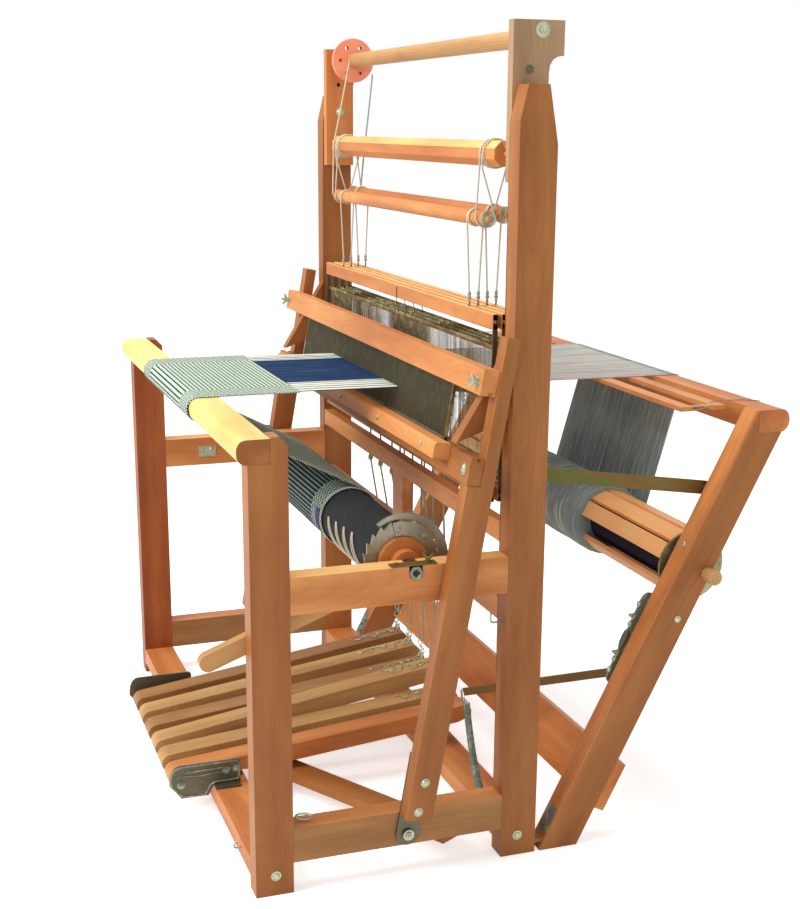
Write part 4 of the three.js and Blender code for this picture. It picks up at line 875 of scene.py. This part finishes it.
# the support in the darker copy: painted shade
rounded("beater_support", "beater", woodShaded, 2.5, (1, 0, 0), beaterUp)
for node in ("beater_race", "beater_top_bar"):
    rounded(node, "beater", wood, 3, (1, 0, 0), beaterUp)
screws = Form()
for side in (-1, 1):
    for depth, height in ((0.5, 110), (-2, 56)):
        bolt(screws, onBeater(side * 613.8, depth, height), (side, 0, 0), 6.4, 4.2, 8, True)
    bolt(screws, (side * 586.5, 270, 79), (side, 0, 0), 7.5, 5, 10)
    bolt(screws, onBeater(side * 588, -21.8, 655), ahead, 7.5, 3, 11, True)
    bolt(screws, onBeater(side * 590, -25.3, 800), ahead, 5, 5, 9)
    stem = Vector(onBeater(side * 590, -34, 800))
    screws.tube([Vector(onBeater(side * 590, -26, 800)), Vector(onBeater(side * 590, -44, 800))], 2.6, 8)
    for turn in (-1, 1):
        wing = Vector(beaterUp) * 9 * turn + Vector((2 * turn, 0, 0))
        screws.tube([stem, stem + wing * 0.6 + Vector(ahead) * 2, stem + wing * 1.4 + Vector(ahead) * 6],
                    [4.4, 3.4, 1.6], 8)
for x in (-488, -250, -12, 223, 456):
    bolt(screws, onBeater(x, -51.9, 668), ahead, 5, 2.4, 5.4, True)
screws.piece("beaterScrews", "beater", zinc, "zinc")

reed = {"half": 457, "front": -11, "back": -5, "low": 672.6, "high": 785.4, "pitch": 2.4, "blade": 0.6}
dents = Form(onBeater)
x = reed["pitch"] / 2 - reed["half"]
while x < reed["half"]:
    dents.block((x, reed["front"] + 0.8, reed["low"] + 9),
                (x + reed["blade"], reed["back"] - 0.8, reed["high"] - 9))
    x += reed["pitch"]
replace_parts(dents.piece("reedDents", "beater", reedSteel, "reed_steel"), "reed")
edges = Form(onBeater)
for low in (reed["low"], reed["high"] - 9.5):
    edges.block((-reed["half"], reed["front"], low), (reed["half"], reed["back"], low + 9.5))
edges.piece("reedBinding", "beater", reedSteel, "reed_steel", bevel=1.2)
strips = Form(onBeater)
for side in (-1, 1):
    low, high = sorted((side * reed["half"], side * (reed["half"] - 3.2)))
    strips.block((low, reed["front"] - 0.1, reed["low"]), (high, reed["back"] + 0.1, reed["high"]))
strips.piece("reedEnds", "beater", brassWire, "chromate", bevel=0.5)
print("beater done")

# Warp between the cloth's edge and the castle, and behind it to the back beam and its roll
warp = {"low": -245, "threads": 244, "pitch": 1.8, "radius": 0.62, "start": (190, 797), "split": 560,
        "end": (928, 791)}


def warpHeight(y):
    (y0, z0), (y1, z1) = warp["start"], warp["end"]
    return z0 + (z1 - z0) * (y - y0) / (y1 - y0)


def isPale(number):  # white bands at both edges of a blue warp
    count = warp["threads"] - 1 - number
    near, far = [-3, 9, -3, 9, -3, 8, -3, 8, -3, 5], [-2, 9, -3, 8, -3, 7, -3, 4]
    for bands, place in ((near, count), (far, number)):
        for band in bands:
            if place < abs(band):
                return band > 0
            place -= abs(band)
    return False


blueThreads, paleThreads = Form(), Form()
chance = random.Random(7)
for number in range(warp["threads"]):
    x = warp["low"] + warp["pitch"] * (number + 0.5)
    sag = chance.uniform(-0.25, 0.25)
    route = [(x, y, warpHeight(y) + sag) for y in (188, 300, 440, 500, warp["split"] - 0.3)]
    (paleThreads if isPale(number) else blueThreads).tube(route, warp["radius"], 5, number=number / 10)
front = blueThreads.piece("warpBlue", "frame", blueYarn, "yarn", 80)
paleThreads.piece("warpPale", "frame", paleYarn, "yarn", 80)
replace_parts(front, "warp_sheet")

backNose = {"y": 974, "z": 769.5, "radius": 21.6, "squeeze": 0.78, "roll": (839, 497), "reach": 75.4}
drum = backNose["roll"]
drumY, drumZ = drum
rear, drop = Form(), []
for i in range(9):
    turn = radians(90 - (90 + 24) * i / 8)
    drop.append((backNose["y"] + backNose["radius"] * cos(turn) * backNose["squeeze"],
                 backNose["z"] + backNose["radius"] * sin(turn)))


def footOn(axis, reach, leave):  # where a line from leave meets a roll
    away = dist(leave, axis)
    turn = atan2(leave[1] - axis[1], leave[0] - axis[0]) - acos(reach / away)
    return (axis[0] + reach * cos(turn), axis[1] + reach * sin(turn))


leaveY, leaveZ = drop[-1]
foot = footOn(drum, backNose["reach"], drop[-1])
for number in range(warp["threads"]):
    x = warp["low"] + warp["pitch"] * (number + 0.5)
    sag = chance.uniform(-0.3, 0.3)
    route = [(x, warp["split"] + 0.3, warpHeight(560)), (x, 700, warpHeight(700) + sag),
             (x, 850, warpHeight(850) + sag), (x, 930, 791.4)]
    route += [(x, y, z) for y, z in drop]
    route += [(x, (leaveY + foot[0]) / 2, (leaveZ + foot[1]) / 2 + sag), (x, *foot)]
    rear.tube(route, 0.74, 5, number=number / 10)
over = ("frame", "back_frame", (0, 575, 790), (0, 800, 790))
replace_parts(rear.piece("warpRear", over, dyedYarn, "yarn", 80), "warp_rear")
print("warp done")


# Woven cloth over the front beam, its roll, and the black apron on the cloth beam
cloth = {"low": -250, "high": 200, "thick": 2, "axis": (282.7, 552), "roll": 58, "nose": (0, 775.75, 20.9)}


def clothRoute():
    noseY, noseZ, reach = cloth["nose"]
    leave = (32.5, 749.2)
    corners = [footOn(cloth["axis"], cloth["roll"] + 2.5, leave), leave]
    for i in range(13):
        turn = radians(270 - 15 * i)
        corners.append((noseY + reach * cos(turn), noseZ + reach * sin(turn)))
    return corners + [(37.5, 796.6), (189.2, 796.2)]


def clothPiece(name, route, paint, step=9.0):
    fine = [route[0]]
    for a, b in zip(route, route[1:]):
        count = max(1, round(dist(a, b) / step))
        fine += [(a[0] + (b[0] - a[0]) * k / count, a[1] + (b[1] - a[1]) * k / count)
                 for k in range(1, count + 1)]
    under, over, reach = [], [], 0.0
    for i, (y, z) in enumerate(fine):
        a, b = fine[max(i - 1, 0)], fine[min(i + 1, len(fine) - 1)]
        thick = cloth["thick"] / dist(a, b)
        reach += dist(fine[i - 1], fine[i]) if i else 0
        under.append((y, z, reach))
        over.append((y - (b[1] - a[1]) * thick, z + (b[0] - a[0]) * thick, reach))
    fold = over + under[::-1]
    across = [cloth["low"] + (cloth["high"] - cloth["low"]) * k / 30 for k in range(31)]
    rings = [[(x, y, z) for y, z, run in fold] for x in across]
    lays = [(run / 1000, x / 1000, 0.0) for x in across for y, z, run in fold]
    return Form().skin(rings, strips=True, twists=lays).piece(name, "frame", paint, "cloth", 60), reach


route = clothRoute()
woven, wovenLength = clothPiece("wovenCloth", route, weave)
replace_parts(woven, "woven_cloth")
for j, (word, paint) in enumerate((("Pale", paleYarn), ("Dark", darkYarn))):
    loops = Form()
    for x in (cloth["low"], cloth["high"]):
        path, number = [], j
        for a, b in zip(route, route[1:]):
            count = max(1, round(dist(a, b) / 2.6))
            run = dist(a, b)
            out = (-(b[1] - a[1]) / run, (b[0] - a[0]) / run)
            for k in range(count):
                y, z = a[0] + (b[0] - a[0]) * k / count, a[1] + (b[1] - a[1]) * k / count
                swing = (3.4 if number % 2 else -0.8) * (1 if x > 0 else -1)
                path.append((x + swing, y + out[0], z + out[1]))
                number += 1
        loops.tube(path, 1.05, 5)
    loops.piece(f"wovenEdge{word}", "frame", paint, "cloth", 80)
wovenLength / 1000


def rollPiece(name, low, high, reach, inner, paint, ripple, step=6):
    count = max(2, round((high - low) / step))
    chance = random.Random(5)
    outside, inside, lays = [], [], []
    for i in range(count + 1):
        x, waver = low + (high - low) * i / count, chance.uniform(-ripple, 0)
        swell = [reach + waver + ripple * 0.5 * (sin(turn * 3 + x / 60) - 1) for turn in angles(72)]
        for rings, radii in ((outside, swell), (inside, [inner] * 72)):
            rings.append([(x, axisY + radius * cos(turn), axisZ + radius * sin(turn))
                          for radius, turn in zip(radii, angles(72))])
        lays.append([(reach * turn / 1000, x / 1000, 1.0) for turn in angles(72)])
    twists = [twist for ring in lays + lays[::-1] for twist in ring]
    form = Form().skin(inside + outside[::-1], True, twists=twists)
    return form.piece(name, "cloth_beam", paint, "cloth", 60)


axisY, axisZ = cloth["axis"]
onRoll = rollPiece("clothOnRoll", cloth["low"], 199, 57.9, 46.6, weave, 0.6)
rollPiece("blackApron", 199.5, 476, 54.5, 46.6, apronBlack, 0.5)
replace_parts(onRoll, "cloth_roll")
for j, (word, paint) in enumerate((("Pale", paleYarn), ("Dark", darkYarn))):  # the roll's ragged end
    ridge = Form()
    for radius, x in ((57.6, 198.4), (56.2, 201.4), (57.4, 204.0)):
        path = []
        for k in range(150):
            turn = tau * k / 150
            swing = 3.0 if (k + j) % 2 else -0.8
            path.append((x + swing, axisY + (radius - 0.4 * j) * cos(turn),
                         axisZ + (radius - 0.4 * j) * sin(turn)))
        ridge.tube(path, 1.0, 5, True)
    ridge.piece(f"rollEdge{word}", "cloth_beam", paint, "cloth", 80)
for k in range(4):  # the apron's lacing
    x = 246 + 46 * k
    turn = radians(163 - 2.5 * k)
    for j, spread in enumerate((-1, 1)):
        path = []
        for i in range(9):
            a = turn + radians(62) * i / 8
            path.append((x + (40 + 11 * spread) * (i / 8) + spread * 1.8, axisY + 56.3 * cos(a),
                         axisZ + 56.3 * sin(a)))
        cordPiece(f"lacing{k + 1}{'ab'[j]}", path, 1.3, "cloth_beam", cordPale, None)
print("cloth done")

# Cloth beam's metal, its guard and the advance lever
rounded("cloth_beam", "cloth_beam", wood, 0.6,
        others=[(ratchetSteel, lambda x, y, z: 497.5 < x < 502.5 and off(cloth["axis"], y, z) > 44.5),
                (woodWarm, lambda x, y, z: 502.5 < x < 530 and off(cloth["axis"], y, z) > 12.5),
                (apronBlack, lambda x, y, z: abs(x) < 488 and off(cloth["axis"], y, z) > 30),
                (darkSteel, lambda x, y, z: abs(x) > 533)])
rounded("advance_lever", "advance_lever", woodTread, 2.5, (0, 345, 135), (1, 0, 0),
        others=[(woodWarm, lambda x, y, z: off(cloth["axis"], y, z) < 27)])


def arc(reach, start, end, steps=28):
    turns = [radians(start + (end - start) * i / steps) for i in range(steps + 1)]
    return [(axisY + reach * cos(turn), axisZ + reach * sin(turn)) for turn in turns]


pawl = Form()
for inner, outer, start, end in ((45, 70, 32, 104), (50, 68, 168, 196)):
    pawl.slab(arc(inner, start, end) + arc(outer, end, start), 502.5, 505)
for y, z in ((axisY - 8, axisZ + 57), (axisY + 42, axisZ + 41)):
    bolt(pawl, (504.8, y, z), (1, 0, 0), 4, 3, 6)
pawl.piece("pawlPlates", "frame", ratchetSteel, "zinc", bevel=0.5)
guard = Form()
crescent = []
for i in range(29):
    turn = radians(122 - 142 * i / 28)
    reach = 74 + 14 * sin(pi * min(1, (i + 2) / 34) * 0.62)
    crescent.append((axisY + reach * cos(turn), axisZ + reach * sin(turn)))
guard.slab(crescent + arc(71.5, -20, 122), 485, 496)
guard.piece("rollGuard", "frame", ratchetSteel, "dark_steel", bevel=0.8)
socket, dark = Form(), Form()
for side in (-1, 1):
    socket.turned((side * loom["outer"], axisY, axisZ),
                  [(0, 12.3), (2.4, 12.3), (3.4, 11.4), (3.4, 7.6), (2.1, 7)], 6,
                  (side, 0, 0))
    # a near-black disc in each bush's hole: painted shade
    dark.turned((side * (loom["outer"] + 2), axisY, axisZ), [(0, 7.4), (0.5, 7.4)], 4, (side, 0, 0))
socket.piece("bushRings", "cloth_beam", galvanised, "zinc", 30, bevel=0.4)
dark.piece("bushHoleShade", "cloth_beam", holeShade, "dark_steel")
print("cloth beam done")

# Back frame, warp beam and its brake
legUp, legFront = (0, 0.5, 1), 526.6  # the legs' slope, and where their front face meets the floor
for word in ("near", "far"):
    # the legs in the darker copy with their front face, which catches the light, in the warm maple: painted
    # shade and light
    rounded(f"back_leg_{word}", "back_frame", woodShaded, 3, legUp, (1, 0, 0),
            others=[(woodWarm, lambda x, y, z: abs(y - legFront - 0.5 * z) < 2.5)])
    rounded(f"stay_{word}", "stays", chromate, 0.6, (0, 1, 0))
rounded("back_beam", "back_frame", woodWarm, 3)
rounded("back_board", "back_frame", woodWarm, 2.5, (1, 0, 0), legUp)
rounded("lease_sticks", "back_frame", wood, 1.5,
        others=[(cordPale, lambda x, y, z: 833 < y < 870)])
# the beam's core under the slats painted near-black: painted shade in the gaps
rounded("warp_beam", "warp_beam", woodSlat, 1,
        others=[(coreShade, lambda x, y, z: abs(x) < 516 and off(drum, y, z) < 50),
                (drumBrass, lambda x, y, z: 515 < abs(x) < 523.5 and off(drum, y, z) > 13),
                (galvanised, lambda x, y, z: x > 577 and off(drum, y, z) < 14)])
rounded("brake_lever", "brake_lever", leverSteel, 0.8, (0, 64, 140))
leverLine = {"x": 517, "pivot": (757, 436), "run": (-64, -140), "out": (-0.9095, 0.4158)}


def onLever(share, out):  # so far down the brake lever, and so far out from it
    return (leverLine["x"], *(leverLine["pivot"][i] + leverLine["run"][i] * share + leverLine["out"][i] * out
                              for i in (0, 1)))


fittings = Form()
for share, stem in ((0.08, 0), (0.24, 11), (0.34, 0), (0.72, 11), (0.8, 0), (0.94, 0)):
    bolt(fittings, onLever(share, 14.6), (0, *leverLine["out"]), 4.2, 3.4, 6.2, not stem)
    if stem:
        fittings.tube([onLever(share, 14.6 + k) for k in (3, stem)], 1.8, 8)
fittings.piece("leverBolts", "brake_lever", zinc, "zinc")
lining = Form()
lining.tube([onLever(share, 13) for share in (0.4, 0.44, 0.5, 0.58, 0.64, 0.67)],
            [2, 5.6, 6.6, 6.4, 4.6, 2], 12)
lining.piece("leverLining", "brake_lever", darkSteel, "dark_steel", 60)
knob = Form().turned((577, drumY, drumZ), [(0, 12.2), (1.5, 13), (27, 14.6), (31, 14.2), (33, 12)], 8)
knob.piece("beamKnob", "warp_beam", woodTread, "maple", 20, bevel=0.8, grain=((1, 0, 0),))
rounded("brake_rod", "brake_rod", chromate, 0.5, (0, 1, 0))

roll = {"low": -245, "high": 195, "turns": 52, "reach": 70.4, "thread": 2.4}
winding = Form()
path = []
for i in range(roll["turns"] * 40 + 1):
    turn = tau * i / 40
    x = roll["low"] + 4 + (roll["high"] - roll["low"] - 8) * i / (roll["turns"] * 40)
    reach = roll["reach"] + 0.8 * sin(i * 0.37) + 0.5 * sin(i * 0.113)
    path.append((x, drumY + reach * cos(turn), drumZ + reach * sin(turn)))
winding.tube(path, roll["thread"], 6, number=3.0)
threads = winding.piece("warpOnRoll", "warp_beam", dyedYarn, "yarn", 80)
core = Form().turned((roll["low"], drumY, drumZ), [(0, 64), (0, 70.6), (440, 70.6), (440, 64)], 64)
core.piece("warpRollCore", "warp_beam", dyedYarn, "yarn", 60)
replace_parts(threads, "warp_roll")

leasePath = [(506, 822, 782), (498, 845, 781.5), (490, 868, 783), (484, 884, 791.8), (478, 905, 792.4),
             (477, 930, 791.6), (482, 960, 791.3), (497, 978, 790.6)]
cordPiece("leaseTie", smoothPath(leasePath, 6), 0.9, "back_frame", cordGrey)
backs = Form()
for side in (-1, 1):
    inward = (-side, 0, 0)
    bolt(backs, (side * (loom["outer"] - 0.2), 785.3, 416.3), (side, 0, 0), 5.5, 2.4, 6.5, True)
    bolt(backs, (side * 556, legFront - 0.2 + 0.5 * 550, 550), (0, -0.894, 0.447), 5.5, 2.6, 7, True)
    bolt(backs, (side * 520.5, 855, 644), inward, 4.5, 2.5, 6, True)
    bolt(backs, (side * 521.5, 483, 699), inward, 4.5, 2.5, 6, True)
backs.piece("backBolts", "back_frame", zinc, "zinc")


def onLeg(x, out, up):  # from the legs' front face to the loom
    return (x, legFront + 0.5 * up - out * 0.894, up + out * 0.447)


hinges = Form()
for side in (-1, 1):
    low, high = sorted((side * 541, side * 569))
    plate = ((low, 0), (high, 0), (high, 2), (low, 2))
    hinges.skin([[onLeg(x, out, up) for x, out in plate] for up in (26, 72)])
    for up, x in ((38, 550), (52, 559), (64, 550)):
        bolt(hinges, onLeg(side * x, 1.8, up), (0, -0.894, 0.447), 3, 1.2, 3.4, True)
hinges.piece("legHinges", "back_frame", galvanised, "zinc", bevel=0.4)
print("back frame done")

# Brake spring and its hooks
spring = {"wire": 1.5, "radius": 5.8, "turns": 62, "stop": 0.965, "sag": 24,
          "start": (222.5, 522.1, 150), "end": (528, 430, 106)}


def springMiddle(share):
    point = Vector(spring["start"]).lerp(Vector(spring["end"]), share)
    point.z -= spring["sag"] * 4 * share * (1 - share)
    return point


coil = []
steps = spring["turns"] * 10
for i in range(steps + 1):
    share = spring["stop"] * i / steps
    middle = springMiddle(share)
    along = (springMiddle(min(share + 0.01, 1)) - springMiddle(max(share - 0.01, 0))).normalized()
    up = (Vector((0, 0, 1)) - along * along.z).normalized()
    out = along.cross(up)
    turn = tau * i / 10
    coil.append(middle + (up * cos(turn) + out * sin(turn)) * spring["radius"])
first = Vector(spring["start"]) - Vector((14, 0, 0))
lead = smoothPath([first + Vector((0, 0, 6)), first + Vector((4, 0, 0)), coil[0] + Vector((-3, 0, 0))], 4)
tail = [springMiddle(0.985), Vector((532, 430, 106))]
springPiece = Form().tube(lead + coil + tail, spring["wire"], 6)
made = springPiece.piece("brakeSpring", ("treadle_6", "frame", spring["start"], spring["end"]), galvanised,
                         "dark_steel", 80)
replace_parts(made, "brake_spring")
print("brake done")


# Light, floor and background
studio = {"world": 0.54, "glow": 0.52, "floor": (40, -0.0005),
          "lamps": [("key", (500, -2700, 2700), (0, 200, 800), 1.8, 98),
                    ("fill", (3300, 900, 1500), (0, 400, 700), 2.6, 6),
                    ("top", (-400, 300, 3500), (0, 400, 800), 2.2, 50)]}


def seenDirectly(paint):  # 1 where the camera, a reflection or a clear body looks
    seen = [paint.add("ShaderNodeLightPath", output=kind) for kind in ("Is Camera Ray", "Is Glossy Ray",
                                                                       "Is Transmission Ray")]
    return seen[0].math("MAXIMUM", seen[0], seen[1].math("MAXIMUM", seen[1], seen[2]))


def makeFloor():
    paint = Paint("paleFloor")
    spot = paint.noise(paint.place(), 3, 2)
    shade = paint.mix(spot, tone(250, 250, 250), tone(253, 253, 253))
    glow = studio["glow"]
    paint.finish(0.0, Base_Color=shade, Roughness=0.9, Emission_Strength=1.0,
                 Emission_Color=paint.mix(seenDirectly(paint), (0, 0, 0, 1), (glow, glow, glow, 1)))
    mesh = bpy.data.meshes.new("floor")
    half, low = studio["floor"]
    mesh.from_pydata([(-half, -half, low), (half, -half, low), (half, half, low), (-half, half, low)], [],
                     [(0, 1, 2, 3)])
    mesh.materials.append(paint.material)
    floor = bpy.data.objects.new("floor", mesh)
    bpy.context.scene.collection.objects.link(floor)


def makeWorld():
    paint = Paint("world", bpy.data.worlds.new("world"))
    bpy.context.scene.world = paint.material
    lit = paint.tree.nodes["Background"]
    lit.inputs[0].default_value = (1, 1, 1, 1)
    lit.inputs[1].default_value = studio["world"]
    seen = paint.add("ShaderNodeBackground", {}, {"Color": (1, 1, 1, 1), "Strength": 1.0})
    both = paint.add("ShaderNodeMixShader", {}, [seenDirectly(paint), Wire(paint, lit.outputs[0]), seen])
    paint.put(paint.tree.nodes["World Output"].inputs[0], both)


def makeLamps():
    for name, place, aim, size, power in studio["lamps"]:
        data = bpy.data.lights.new(name, "AREA")
        data.size, data.energy = size, power
        lamp = bpy.data.objects.new(name, data)
        lamp.location = at(*place)
        lamp.rotation_euler = (at(*aim) - at(*place)).to_track_quat("-Z", "Y").to_euler()
        bpy.context.scene.collection.objects.link(lamp)


makeFloor()
makeWorld()
makeLamps()
bpy.context.scene.view_settings.view_transform = "Standard"
print("stage set")
